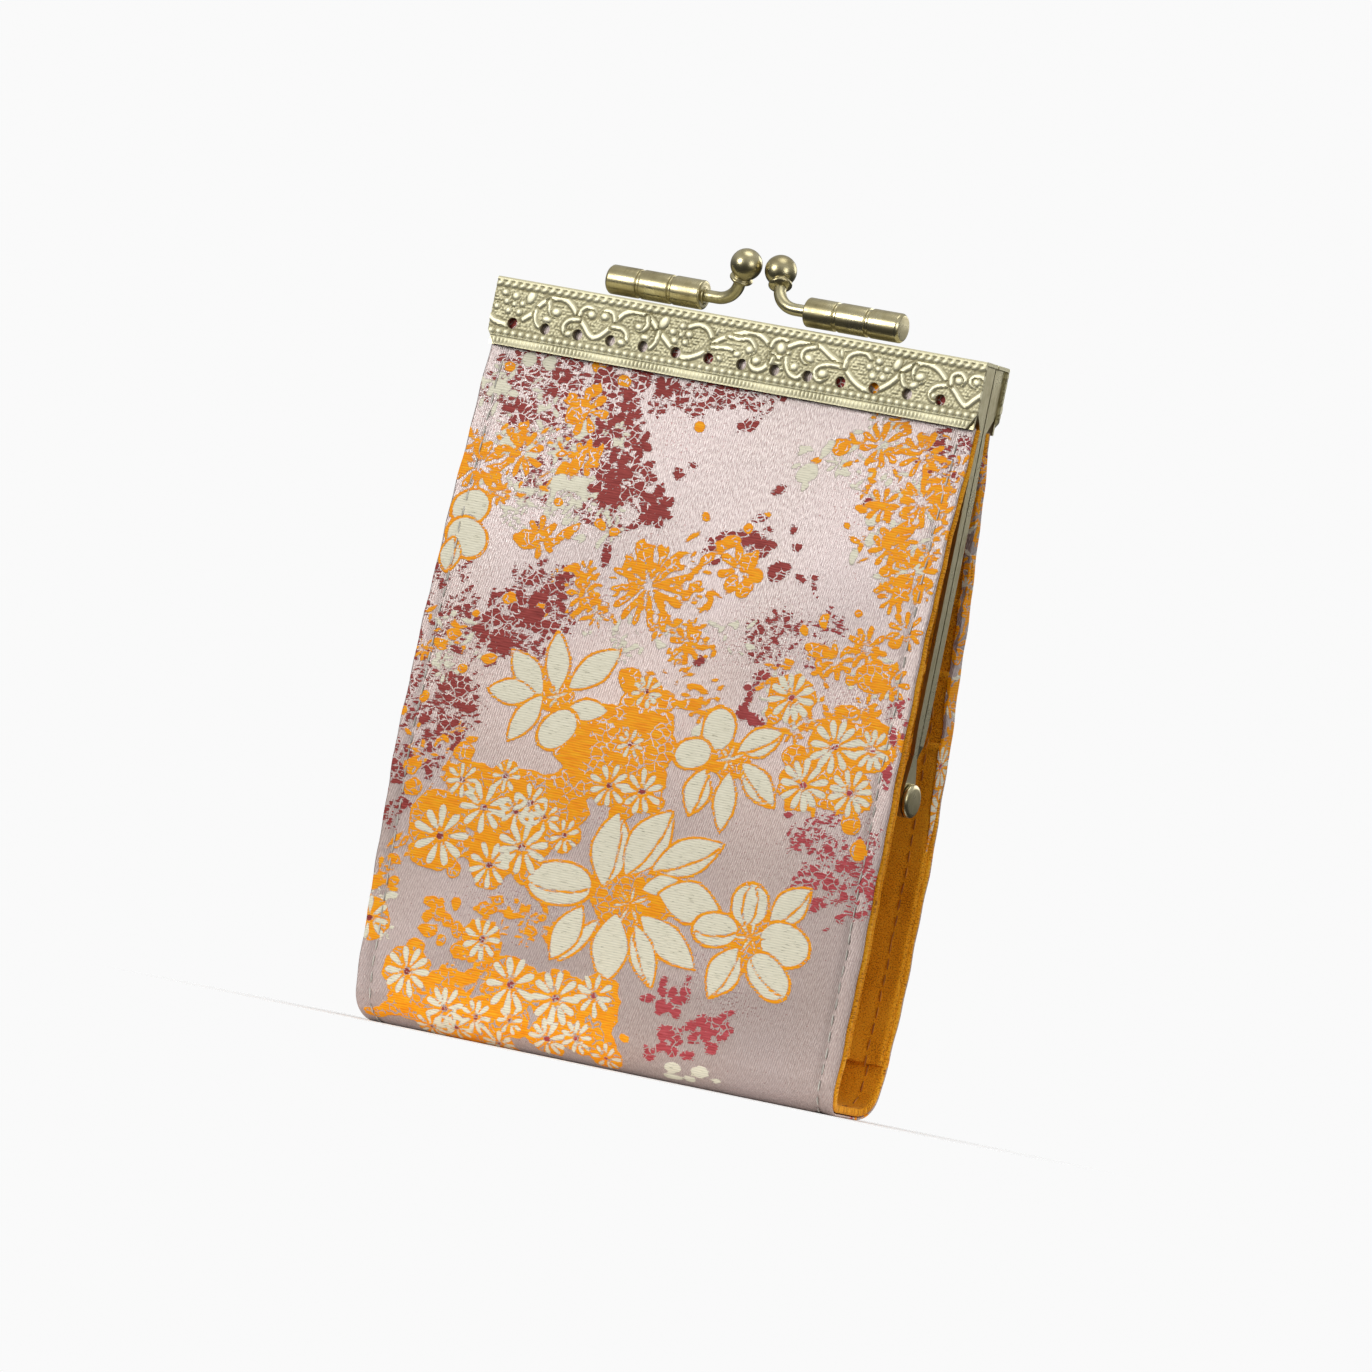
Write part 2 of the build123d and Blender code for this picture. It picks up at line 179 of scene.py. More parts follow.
# Vines, each a line of (x, z) in mm with its half width. The stamp isn't symmetrical.
vines = [
    (0.5, [(-46.4, 119.9), (-45.2, 119), (-42.8, 118.6)]),
    (0.52, [(-39.8, 120), (-38.2, 121.3), (-37.6, 122.3), (-36.5, 123.4), (-34.8, 124.3),
            (-32.8, 124.4), (-31.2, 123.5), (-29.8, 122), (-28.3, 120.6), (-27.3, 119.5),
            (-26.3, 119), (-25.1, 119.5), (-23.6, 121), (-22.6, 122.5), (-21.3, 123.9),
            (-19.6, 124.5), (-17.8, 124.4), (-16, 123.4), (-14.6, 122.1), (-13, 120.8),
            (-11.5, 119.6), (-10, 118.6), (-8.4, 118.5), (-6.8, 119.1), (-5.6, 119.8)]),
    (0.33, [(-37.7, 121.8), (-37.7, 120.6), (-37.2, 119.5), (-36.4, 119)]),
    (0.36, [(-35.5, 123.6), (-35.3, 122.2), (-34.7, 121.5), (-33.8, 121.6), (-33.6, 122.2)]),
    (0.4, [(-29.6, 121.9), (-29.3, 123.2), (-28.2, 123.9), (-27, 123.5), (-26.8, 122.7),
           (-27.4, 122.3)]),
    (0.4, [(-22.9, 122.3), (-23.4, 123.5), (-24.7, 123.8), (-25.5, 123.1), (-25.3, 122.4),
           (-24.6, 122.4)]),
    (0.4, [(-29.6, 121.5), (-31.2, 121.2), (-32.1, 120.2), (-32, 119.2), (-31.2, 118.6),
           (-30.6, 118.7)]),
    (0.4, [(-23.1, 121.3), (-21.4, 121.3), (-20.3, 120.5), (-20.2, 119.3), (-21.2, 118.6)]),
    (0.38, [(-17, 123.8), (-16.8, 122.4), (-17.6, 121.6), (-18.6, 121.7), (-18.7, 122.4)]),
    (0.38, [(-14.4, 121.8), (-14.7, 120), (-15.5, 118.9)]),
    (0.45, [(-9, 123.6), (-7.4, 124.2), (-5.8, 123.9), (-4.8, 122.9), (-4.3, 121.6),
            (-4.7, 120.4)]),
    (0.5, [(-4.4, 121.3), (-3, 122.4), (-1.3, 123.3), (0, 123.8), (1.9, 124.4), (3.7, 124.4),
           (5.4, 123.6), (6.6, 122.3), (6.7, 120.4), (5.9, 119), (4.5, 118.5), (3.5, 119.1),
           (3.4, 120), (4.3, 120.4)]),
    (0.38, [(-1.4, 123.2), (0.4, 123), (2.3, 123.3), (3.4, 122.5), (3.6, 121.6), (2.8, 121)]),
    (0.4, [(-4.2, 120.9), (-2.6, 121.1), (-0.9, 121.2), (0.3, 120.7)]),
    (0.42, [(6.6, 122.8), (7, 123.8), (8.4, 124.4), (9.8, 123.8), (10, 122.6), (9.6, 121.5),
            (8.4, 121.2), (7.1, 121.6)]),
    (0.34, [(7.3, 120.9), (7.1, 119.9), (7.8, 119.4), (9.1, 119.4), (9.6, 120), (9.4, 120.9)]),
    (0.5, [(9.8, 123.3), (11.6, 124.2), (13.7, 124.5), (15.6, 124.1), (17.5, 123),
           (19.4, 122), (21, 121), (22.6, 119.6), (24.6, 118.6), (26.5, 118.6), (28.1, 119.3),
           (29.6, 120.5), (30.6, 121.7), (31.3, 122.8), (33, 123.9), (35.2, 124.5),
           (37.4, 123.9), (39.3, 122.4), (41.2, 120.8), (42.7, 119.3), (43.7, 118.8),
           (45, 120), (46.4, 121.3)]),
    (0.42, [(9.7, 121.3), (10, 120), (10.9, 118.8), (12.2, 118.4), (13, 119)]),
    (0.4, [(14.6, 123.9), (12.9, 123.3), (12.4, 122.1), (13.2, 121.2), (14.3, 121.4)]),
    (0.4, [(20.2, 121.4), (18.1, 121.5), (16.3, 121.1), (15.4, 120.3), (15.4, 119.2),
           (16.5, 118.6), (17.5, 119.3)]),
    (0.42, [(20.5, 121.5), (20.9, 123.3), (22.2, 124.2), (24, 124.4), (25, 123.7)]),
    (0.36, [(33.4, 123.6), (33.1, 122.6), (33.7, 121.5), (34.8, 121.2), (35.3, 121.9)]),
    (0.36, [(31.2, 121.9), (31.6, 120.6), (32.4, 120)]),
    (0.42, [(39.4, 121.5), (37.8, 121.1), (36.9, 120.2), (37, 119.1), (37.7, 118.6)]),
    (0.4, [(40.2, 121.9), (40.3, 123.3), (41.6, 123.9), (42.7, 123.1), (42.2, 122.1)]),
    (0.4, [(46.3, 123.6), (45, 123.9), (43.9, 123.5), (43.7, 122.6), (44.5, 122.1)]),
]
# Berries and leaves: (x, z, half length, half width, turn in degrees).
berries = [
    (-44.1, 123.9, 0.7, 0.6, 0), (-42, 123.6, 0.75, 0.7, 0), (-43.5, 122.5, 0.6, 0.6, 0),
    (-42, 122.2, 0.55, 0.5, 0), (-40.5, 122.5, 0.6, 0.6, 0), (-42.9, 121, 0.62, 0.6, 0),
    (-40.9, 121, 0.62, 0.6, 0), (-39.1, 123.8, 1.25, 0.85, 70), (-45.2, 121.4, 0.6, 0.55, 0),
    (-34, 122.1, 0.9, 0.75, 10), (-35.5, 120.6, 0.95, 0.6, 0), (-27.4, 122.7, 0.8, 0.7, 0),
    (-24.9, 122.8, 0.8, 0.7, 0), (-31, 118.9, 0.8, 0.55, 20), (-21, 119, 0.85, 0.6, -10),
    (-18.3, 122.1, 0.75, 0.65, 0), (-16.8, 120.5, 0.9, 0.6, 0), (-13.8, 123.6, 1.25, 0.85, 60),
    (-10.3, 123.5, 0.62, 0.6, 0), (-11.9, 122.3, 0.68, 0.65, 0), (-10.3, 122, 0.5, 0.5, 0),
    (-8.8, 122.3, 0.68, 0.65, 0), (-11.3, 120.9, 0.68, 0.65, 0), (-9.3, 120.9, 0.62, 0.6, 0),
    (-3.7, 123.7, 0.75, 0.3, 75), (-2.5, 119.3, 0.7, 0.5, -30), (2.7, 121.6, 0.8, 0.72, 0),
    (0.6, 120.5, 0.8, 0.6, 20), (4.3, 120, 0.85, 0.7, 20), (8.4, 122.75, 1.0, 0.9, 90),
    (8.3, 120.2, 0.75, 0.4, 0), (11.4, 120.1, 0.85, 0.7, 30), (13.8, 121.9, 0.95, 0.7, -20),
    (16.8, 119.8, 0.95, 0.75, 10), (19.6, 123.7, 0.85, 0.4, 100), (25, 122.3, 0.68, 0.65, 0),
    (26.6, 123.5, 0.7, 0.65, 0), (26.7, 122.2, 0.6, 0.55, 0), (28.3, 122.3, 0.65, 0.6, 0),
    (25.9, 120.9, 0.72, 0.68, 0), (27.8, 120.9, 0.7, 0.65, 0), (30, 123.5, 1.15, 0.75, 70),
    (34.5, 122.1, 1.0, 0.75, 15), (33.6, 120.6, 0.9, 0.6, 20), (37.6, 119.4, 0.6, 0.6, 0),
    (41.6, 122.6, 0.8, 0.7, 0), (44.8, 122.8, 0.75, 0.65, 0),
]


def smooth_line(points, steps=7):
    """Points along a curve that goes through the given ones."""
    p = np.array([points[0], *points, points[-1]], float)
    t = np.linspace(0, 1, steps, endpoint=False)[:, None]
    runs = [0.5 * (2 * b + (c - a) * t + (2 * a - 5 * b + 4 * c - d) * t**2
                   + (3 * b - a - 3 * c + d) * t**3)
            for a, b, c, d in zip(p, p[1:], p[2:], p[3:])]
    return np.vstack([*runs, p[-1:]])


def distance_to_line(x, z, line):
    """Distance of each grid point from a line of short straight runs."""
    best = np.full(x.shape, 9.0)
    low, high = line.min(0) - 1.5, line.max(0) + 1.5
    near = (x > low[0]) & (x < high[0]) & (z > low[1]) & (z < high[1])
    px, pz = x[near], z[near]
    found = np.full(px.shape, 9.0)
    for (ax, az), (bx, bz) in zip(line, line[1:]):
        run = (bx - ax) ** 2 + (bz - az) ** 2 + 1e-9
        t = np.clip(((px - ax) * (bx - ax) + (pz - az) * (bz - az)) / run, 0, 1)
        found = np.minimum(found, np.hypot(px - ax - t * (bx - ax), pz - az - t * (bz - az)))
    best[near] = found
    return best


def dome(reach):
    """Height of a round-topped bump, where reach is 0 at its middle and 1 at its rim."""
    return np.sqrt(np.clip(1 - reach**2, 0, 1))


def stamped_relief(x, z):
    """Height of the stamped ornament in mm, over the plate's ground."""
    random = np.random.default_rng(41)
    pebble_pitch, pebble_base = 0.62, 118.4
    row = np.round((z - pebble_base) / (pebble_pitch * 0.86))
    column = np.round(x / pebble_pitch - 0.5 * (row % 2))
    shake = random.uniform(-0.09, 0.09, (2, 40, 200))
    r, c = row.astype(int) % 40, column.astype(int) % 200
    dx = x - (column + 0.5 * (row % 2)) * pebble_pitch + shake[0, r, c]
    dz = z - pebble_base - row * pebble_pitch * 0.86 + shake[1, r, c]
    height = 0.13 * dome(np.hypot(dx, dz) / 0.29)
    for half_width, points in vines:
        gap = distance_to_line(x, z, smooth_line(points))
        flank = np.clip((0.8 * half_width + 0.16 - gap) / 0.22, 0, 1)
        raised = 0.24 * flank * flank * (3 - 2 * flank) + 0.03 * dome(gap / half_width)
        height = np.where(gap < half_width + 0.32, np.maximum(raised, 0), height)
    for bx, bz, length, width, turn in berries:
        c, s = math.cos(math.radians(turn)), math.sin(math.radians(turn))
        dx, dz = x - bx, z - bz
        reach = np.hypot((dx * c + dz * s) / length, (dz * c - dx * s) / width)
        height = np.where(reach < 1.2, 0.27 * dome(reach) ** 0.6, height)
    for hx, hz in sewing_holes:
        gap = np.hypot(x - hx, z - hz)
        height = np.where(gap < hole_radius + 0.16, 0.04, height)
    # the borders: a flat rim, the rope, a groove, then beads, a rib, the flutes and a flat foot
    rim_from, rope_z, rope_from, groove_z = 125.98, 125.35, 124.72, 124.66
    beads_below, bead_z, rib_below = 118.0, 117.3, 116.64
    flutes_below, flute_z, foot_below = 116.5, 115.82, 115.24
    bead_pitch, flute_pitch = 1.42, 0.73
    slant = (x - 0.45 * (z - rope_z)) / bead_pitch
    rope = dome(np.hypot((slant - np.round(slant)) * bead_pitch / 0.68, (z - rope_z) / 0.56))
    along = x / bead_pitch
    bead = dome(np.hypot((along - np.round(along)) * bead_pitch / 0.62, (z - bead_z) / 0.6))
    along = x / flute_pitch
    flute = dome((along - np.round(along)) * flute_pitch / 0.34) * dome((z - flute_z) / 0.66)
    for band, relief in (
            (z > rope_from, 0.25 * rope), (z > rim_from, 0.12), (np.abs(z - groove_z) < 0.1, 0.0),
            (z < beads_below, 0.25 * bead), (z < rib_below, 0.15),
            (z < flutes_below, 0.2 * flute + 0.02), (z < foot_below, 0.12)):
        height = np.where(band, relief, height)
    return height


def make_piece(name, points, faces, finish, crease=40):
    """A mesh from points in mm, shaded smooth except along creases."""
    mesh = bpy.data.meshes.new(name)
    mesh.from_pydata((np.asarray(points) * mm).tolist(), [], faces)
    mesh.shade_smooth()
    mesh.set_sharp_from_angle(angle=math.radians(crease))
    mesh.materials.append(finish)
    return put(name, mesh)


def closed_sheet(name, outside, inside, finish, keep=None, marks=None, crease=40):
    """A closed piece from two grids of points, with walls round its edge and round holes.
    marks are values kept for the finish, one for each grid point of the outside."""
    rows, columns = outside.shape[:2]
    number = np.arange(rows * columns).reshape(rows, columns)
    keep = np.ones((rows - 1, columns - 1), bool) if keep is None else keep
    a, b, c, d = number[:-1, :-1], number[:-1, 1:], number[1:, 1:], number[1:, :-1]
    under = rows * columns
    faces = [np.stack([a, b, c, d], -1)[keep], np.stack([d, c, b, a], -1)[keep] + under]
    around = np.pad(keep, 1)
    for p, q, beside in ((a, b, around[:-2, 1:-1]), (b, c, around[1:-1, 2:]),
                         (c, d, around[2:, 1:-1]), (d, a, around[1:-1, :-2])):
        edge = keep & ~beside
        faces.append(np.stack([q, p, p + under, q + under], -1)[edge])
    faces = np.vstack(faces)
    used, renumbered = np.unique(faces, return_inverse=True)
    points = np.vstack([outside.reshape(-1, 3), inside.reshape(-1, 3)])[used]
    piece = make_piece(name, points, renumbered.reshape(-1, 4).tolist(), finish, crease)
    for mark, values in (marks or {}).items():
        flat = values.reshape(under, -1)
        flat = np.vstack([flat, flat])[used]
        kind = "FLOAT" if flat.shape[1] == 1 else "FLOAT_VECTOR"
        made = piece.data.attributes.new(mark, kind, "POINT")
        made.data.foreach_set("value" if kind == "FLOAT" else "vector",
                              flat.astype(np.float32).ravel())
    return piece


stamped_brass, tree, shader = new_finish("stamped_antique_brass")
place = on_object(tree)
height = mark_of(tree, "relief")
patina = cloudy(tree, scaled(tree, place, (150, 150, 150)), 6, 0.6)
fine = cloudy(tree, scaled(tree, place, (2400, 2400, 2400)), 3, 0.6)
worn = sums(tree, "MULTIPLY_ADD", height, 2.1, sums(tree, "MULTIPLY_ADD", patina, 0.34, -0.1))
worn = sums(tree, "MULTIPLY_ADD", fine, 0.12, worn)
colour = tones(tree, worn, [(0.05, (0.20, 0.17, 0.085)), (0.22, (0.52, 0.48, 0.31)),
                            (0.42, (0.70, 0.66, 0.45)), (0.75, (0.76, 0.72, 0.52))])
feed(tree, shader, {
    "Base Color": colour, "Roughness": between(tree, worn, 0.1, 0.8, 0.60, 0.50),
    "Metallic": 0.85, "Normal": bumpy(tree, fine, 0.14, 0.00004)})

for half, side in (("front", -1), ("back", 1)):
    web = np.linspace(plate_gap, plate_depth - plate_fold_radius, 12)
    turn = np.linspace(0, math.pi / 2, 7)[1:-1]
    drop = np.arange(plate_top - plate_fold_radius, plate_lip, -stamp_step)
    drop = np.append(drop, plate_lip)
    centre_u, centre_z = plate_depth - plate_fold_radius, plate_top - plate_fold_radius
    out = np.concatenate([web, centre_u + plate_fold_radius * np.sin(turn),
                          np.full(drop.size, plate_depth)])
    up = np.concatenate([np.full(web.size, plate_top),
                         centre_z + plate_fold_radius * np.cos(turn), drop])
    under_out = np.concatenate([web, np.full(turn.size + drop.size, plate_depth - plate_sheet)])
    under_up = np.concatenate([np.full(web.size + turn.size, plate_top - plate_sheet),
                               np.minimum(drop, plate_top - plate_sheet)])
    under_out[web.size - 1:web.size + turn.size] = np.linspace(
        plate_depth - plate_fold_radius - 0.3, plate_depth - plate_sheet, turn.size + 1)
    along = np.linspace(-plate_half_length, plate_half_length,
                        int(2 * plate_half_length / stamp_step))
    x = np.tile(along, (out.size, 1))
    z = np.tile(up[:, None], (1, along.size))
    # the lower corners are cut off at a slant
    cut = np.clip(plate_lip + plate_corner * corner_slant - z, 0, None) / corner_slant
    ends = np.clip((np.abs(x) - corner_from) / (plate_half_length - corner_from), 0, 1)
    x = x - np.sign(x) * ends * cut
    # the grid closes in on each sewing hole's rim
    keep = np.ones((out.size - 1, along.size - 1), bool)
    middle_x, middle_z = (x[:-1, :-1] + x[1:, 1:]) / 2, (z[:-1, :-1] + z[1:, 1:]) / 2
    face_x, face_z = x.copy(), z.copy()
    for hx, hz in sewing_holes:
        keep &= np.hypot(middle_x - hx, middle_z - hz) > hole_radius
        gap = np.hypot(x - hx, z - hz)
        rim = np.abs(gap - hole_radius) < stamp_step * 0.75
        face_x[rim] = hx + (x - hx)[rim] * hole_radius / gap[rim]
        face_z[rim] = hz + (z - hz)[rim] * hole_radius / gap[rim]
    relief = np.where(z < plate_top - 0.05, stamped_relief(face_x, face_z), 0.1)
    relief[:web.size] = ground_relief
    lift = (relief - ground_relief) * np.clip((plate_top - z) / 0.5, 0, 1)
    stands = np.tile(out[:, None], (1, along.size)) + lift
    flat_z = np.tile(under_up[:, None], (1, along.size))
    flat_z[web.size + turn.size:] = np.minimum(face_z, plate_top - plate_sheet)[
        web.size + turn.size:]
    hand = 1 if side < 0 else -1      # the same stamp makes both, seen from outside
    outside = np.stack([hand * face_x, frame_middle + side * stands, face_z], -1)
    inside = np.stack([hand * face_x, frame_middle + side * np.tile(
        under_out[:, None], (1, along.size)), flat_z], -1)
    # rows run downwards, so the faces turn outwards with the columns the other way round
    plate = closed_sheet(f"{half}_stamped_rail", outside[:, ::-1], inside[:, ::-1],
                         stamped_brass, keep[:, ::-1], {"relief": relief[:, ::-1]})
    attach(plate, f"{half}_frame")
    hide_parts(f"{half}_rail_plate")


# ---- Clasp --------------------------------------------------------------------------------
# Two turned brass barrels soldered on the rails, each with a bent rod that ends in a collar
# and a ball. The balls snap past each other. All are turned and brushed round their axes.

barrel_start_x = 10.7
barrel_y = -5.325
barrel_z = 129.6
rod_radius = 1.05
rod_bend = 3.1                                   # from the knee to where the bend begins
rod_in_barrel, rod_in_ball = 3.0, 1.5
ball_radius = 2.7
ball_middle = Vector((2.85, -2.2, 135.7))
rod_knee = Vector((5.45, barrel_y, barrel_z))


def turned(name, outline, start, along, finish, sides=72, crease=32):
    """A lathe-turned piece: outline is a list of (distance along, radius), 0 at both ends."""
    axis = Vector(along).normalized()
    across = axis.orthogonal().normalized()
    other = axis.cross(across)
    angles = np.linspace(0, 2 * math.pi, sides, endpoint=False)
    points = [np.array(start) + np.array(axis) * outline[0][0]]
    for distance, radius in outline[1:-1]:
        for angle in angles:
            points.append(np.array(start) + np.array(axis) * distance + radius * (
                math.cos(angle) * np.array(across) + math.sin(angle) * np.array(other)))
    points.append(np.array(start) + np.array(axis) * outline[-1][0])
    rings, last = len(outline) - 2, len(points) - 1
    faces = []
    for i in range(sides):
        j = (i + 1) % sides
        faces.append((0, 1 + j, 1 + i))
        for ring in range(rings - 1):
            low, high = 1 + ring * sides, 1 + (ring + 1) * sides
            faces.append((low + i, low + j, high + j, high + i))
        faces.append((last, 1 + (rings - 1) * sides + i, 1 + (rings - 1) * sides + j))
    return make_piece(name, points, faces, finish, crease)


def half_turned(piece):
    """The back half's clasp is the front one's, turned half round on the frame's middle."""
    for vertex in piece.data.vertices:
        x, y, z = vertex.co
        vertex.co = (-x, 2 * frame_middle * mm - y, z)
    piece.data.update()
    return piece


def rounded(points, radius=0.14, steps=4):
    """A turned outline with its inner corners softened, so that the edges catch the light."""
    soft = [points[0]]
    for before, here, after in zip(points, points[1:], points[2:]):
        b, h, a = Vector(before), Vector(here), Vector(after)
        first, second = (b - h), (a - h)
        reach = min(radius, first.length * 0.45, second.length * 0.45)
        p, q = h + first.normalized() * reach, h + second.normalized() * reach
        for k in range(steps + 1):
            t = k / steps
            soft.append(tuple((1 - t) ** 2 * p + 2 * t * (1 - t) * h + t * t * q))
    soft.append(points[-1])
    return soft


def brushed_brass(name, middle, axis):
    """Antique brass with fine rings round one axis, from a file held against the turning."""
    material, tree, shader = new_finish(name)
    place = on_object(tree)
    from_middle = add(tree, "ShaderNodeVectorMath", {0: place, 1: tuple(v * mm for v in middle)},
                      operation="SUBTRACT").outputs["Vector"]
    distance = add(tree, "ShaderNodeVectorMath", {0: from_middle, 1: tuple(axis)},
                   operation="DOT_PRODUCT").outputs["Value"]
    shell = add(tree, "ShaderNodeVectorMath", {0: from_middle},
                operation="LENGTH").outputs["Value"]
    rings = add(tree, "ShaderNodeCombineXYZ", {
        "X": sums(tree, "MULTIPLY", distance, 7000.0), "Y": sums(tree, "MULTIPLY", shell, 700.0)})
    lines = cloudy(tree, rings.outputs["Vector"], 3, 0.65)
    patina = cloudy(tree, scaled(tree, place, (210, 210, 210)), 5, 0.6)
    worn = sums(tree, "MULTIPLY_ADD", lines, 0.3, sums(tree, "MULTIPLY", patina, 0.75))
    colour = tones(tree, worn, [(0.3, (0.23, 0.19, 0.095)), (0.52, (0.45, 0.395, 0.225)),
                                (0.75, (0.66, 0.61, 0.41))])
    feed(tree, shader, {
        "Base Color": colour, "Roughness": between(tree, worn, 0.3, 0.75, 0.40, 0.22),
        "Metallic": 1.0, "Normal": bumpy(tree, lines, 0.22, 0.00005)})
    return material


barrel_outline = [
    (0.0, 0), (0.0, 1.35), (0.18, 1.5), (0.18, 2.2), (0.4, 2.5), (5.62, 2.5), (5.74, 2.18),
    (6.22, 2.18), (6.34, 2.5), (11.62, 2.5), (11.74, 2.18), (12.22, 2.18), (12.34, 2.5),
    (17.55, 2.5), (18.0, 2.1), (18.0, 0)]
rise = (ball_middle - rod_knee).normalized()
ball_outline = [(-ball_radius * math.cos(a), ball_radius * math.sin(a))
                for a in np.linspace(0, math.pi, 41)]
ball_outline[0] = (-ball_radius, 0)
ball_outline[-1] = (ball_radius, 0)
collar_outline = [(-3.55, 0), (-3.55, 1.2), (-3.25, 1.75), (-3.0, 2.0), (-2.7, 2.0), (-2.5, 1.75),
                  (-2.3, 1.55), (-1.9, 1.7), (-1.6, 0)]
ring_brass = {
    "barrel": brushed_brass("brushed_brass_barrel", (0, 0, 0), (1, 0, 0)),
    "front": brushed_brass("brushed_brass_front_ball", ball_middle, rise),
    "back": brushed_brass("brushed_brass_back_ball",
                          (-ball_middle.x, 2 * frame_middle - ball_middle.y, ball_middle.z),
                          (-rise.x, -rise.y, rise.z)),
}
for half in ("front", "back"):
    place_half = half_turned if half == "back" else (lambda piece: piece)
    barrel = turned(f"{half}_turned_barrel", rounded(barrel_outline),
                    (barrel_start_x, barrel_y, barrel_z), (1, 0, 0), ring_brass["barrel"], 96)
    ball = turned(f"{half}_ball", ball_outline, ball_middle, rise, ring_brass[half])
    collar = turned(f"{half}_collar", rounded(collar_outline, 0.2), ball_middle, rise,
                    ring_brass[half])
    # the rod, bent over a former and let into the barrel and the ball
    line = bpy.data.curves.new(f"{half}_rod_line", "CURVE")
    line.dimensions = "3D"
    spline = line.splines.new("BEZIER")
    spline.bezier_points.add(3)
    stops = [Vector((barrel_start_x + rod_in_barrel, barrel_y, barrel_z)),
             rod_knee + Vector((rod_bend, 0, 0)),
             rod_knee + rise * rod_bend, ball_middle - rise * (ball_radius - rod_in_ball)]
    pulls = [Vector((-1, 0, 0)), Vector((-1, 0, 0)), rise, rise]
    for point, stop, pull in zip(spline.bezier_points, stops, pulls):
        point.co = stop * mm
        point.handle_left = (stop - pull * rod_bend * 0.6) * mm
        point.handle_right = (stop + pull * rod_bend * 0.6) * mm
    line.bevel_depth = rod_radius * mm
    line.bevel_resolution = 9
    line.resolution_u = 20
    line.use_fill_caps = True
    drawn = put("rod_line", line)
    rod_mesh = bpy.data.meshes.new_from_object(
        drawn.evaluated_get(bpy.context.evaluated_depsgraph_get()))
    bpy.data.objects.remove(drawn)
    shape = bmesh.new()
    shape.from_mesh(rod_mesh)
    bmesh.ops.remove_doubles(shape, verts=shape.verts, dist=1e-6)
    bmesh.ops.recalc_face_normals(shape, faces=shape.faces)
    shape.to_mesh(rod_mesh)
    shape.free()
    rod_mesh.shade_smooth()
    rod_mesh.set_sharp_from_angle(angle=math.radians(50))
    rod_mesh.materials.clear()
    rod_mesh.materials.append(sheet_brass)
    rod = put(f"{half}_bent_rod", rod_mesh)
    for piece, node in ((barrel, "barrel"), (ball, "ball"), (collar, "collar"), (rod, "post")):
        place_half(piece)
        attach(piece, f"{half}_frame")
        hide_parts(f"{half}_clasp_{node}")


# ---- Rivets -------------------------------------------------------------------------------
# One at each side, through both arms: a flat polished head outside, a shank, and an end that
# is peened over inside. The front half turns on them.

pivot = (0.0, frame_middle, 53.3)
rivet_outline = [
    (43.35, 0), (43.35, 1.2), (43.7, 1.8), (44.05, 1.8), (44.05, 1.1), (45.7, 1.1),
    (45.7, 2.85), (46.35, 2.85), (46.62, 2.55), (46.72, 2.2), (46.8, 0)]
rivet_finish = brushed_brass("rivet_brass", pivot, (1, 0, 0))
for hand, name in ((1, "right"), (-1, "left")):
    rivet = turned(f"{name}_peened_rivet", rounded(rivet_outline, 0.2), pivot, (hand, 0, 0),
                   rivet_finish, 64)
    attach(rivet, "back_frame")
    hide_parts(f"{name}_rivet")


# ---- Brocade cover ------------------------------------------------------------------------
# One strip of figured silk brocade, hung from the front rail, folded round the bottom and up
# to the back rail. Flowers in orange and ivory floss and small burgundy blossoms are woven
# into a silver-mauve satin. The side edges are turned in and sewn down.

cloth_half_width = 45.6
cloth_top = 115.5
fold_radius = 5.5
bows = {-1: (582.4, 50.0), 1: (425.4, 25.0)}    # radius of each panel's bow, its furthest height
body_half_depth = 10.1
brocade_thick = 0.5
seam_x = 42.8
cloth_step = 0.42
fold_split = 30.0                               # height at which the fold's own piece begins
pattern_repeat = 121.0


def section(along, side):
    """Side view of one panel's outer face: the point and the outward direction, at a distance
    along the cloth from the middle of the fold. Returns (out, up, direction out, direction up)."""
    radius, furthest = bows[side]
    reach = radius - fold_radius
    bow_middle = body_half_depth - radius
    corner = bow_middle + math.sqrt(reach**2 - (furthest - fold_radius) ** 2)
    start = math.atan2(fold_radius - furthest, corner - bow_middle)
    bend = fold_radius * (start + math.pi / 2)
    turn = np.where(along < corner + bend, -math.pi / 2 + (along - corner) / fold_radius,
                    start + (along - corner - bend) / radius)
    turn = np.where(along < corner, -math.pi / 2, turn)
    r = np.where(along < corner + bend, fold_radius, radius)
    mid_out = np.where(along < corner + bend, corner, bow_middle)
    mid_up = np.where(along < corner + bend, fold_radius, furthest)
    out = np.where(along < corner, along, mid_out + r * np.cos(turn))
    return out, mid_up + r * np.sin(turn), np.cos(turn), np.sin(turn)


def along_at_height(height, side, samples=14001):
    """Distance along the cloth, from the fold's middle, at which a panel is this high."""
    reach = np.linspace(0, 140, samples)
    past_bend = samples // 14                    # from 10 mm on, the height rises steadily
    return np.interp(height, section(reach, side)[1][past_bend:], reach[past_bend:])


fold_place = 50.0 - along_at_height(50.0, -1)    # the fold's middle, on the cloth's own scale


def waves(x, v):
    """How far the cloth stands off its drawn line: slack between the rail, seams and fold."""
    from_fold = np.abs(v - fold_place)
    slack = np.clip((from_fold - 9) / 14, 0, 1) * np.clip((119 - from_fold) / 14, 0, 1)
    swell = (0.20 * np.sin(x / 15.3 + 1.1) * np.sin(v / 19.0 + 0.7)
             + 0.13 * np.sin(x / 7.9 - v / 11.5) + 0.10 * np.sin(v / 6.1 + 0.5 * np.sin(x / 9)))
    full = 0.35 * np.sin(np.pi * np.clip((from_fold - 20) / 95, 0, 1))
    return slack * swell + full * (1 - (x / 47) ** 2) - 0.35 * np.clip(
        (from_fold - 104) / 16, 0, 1)


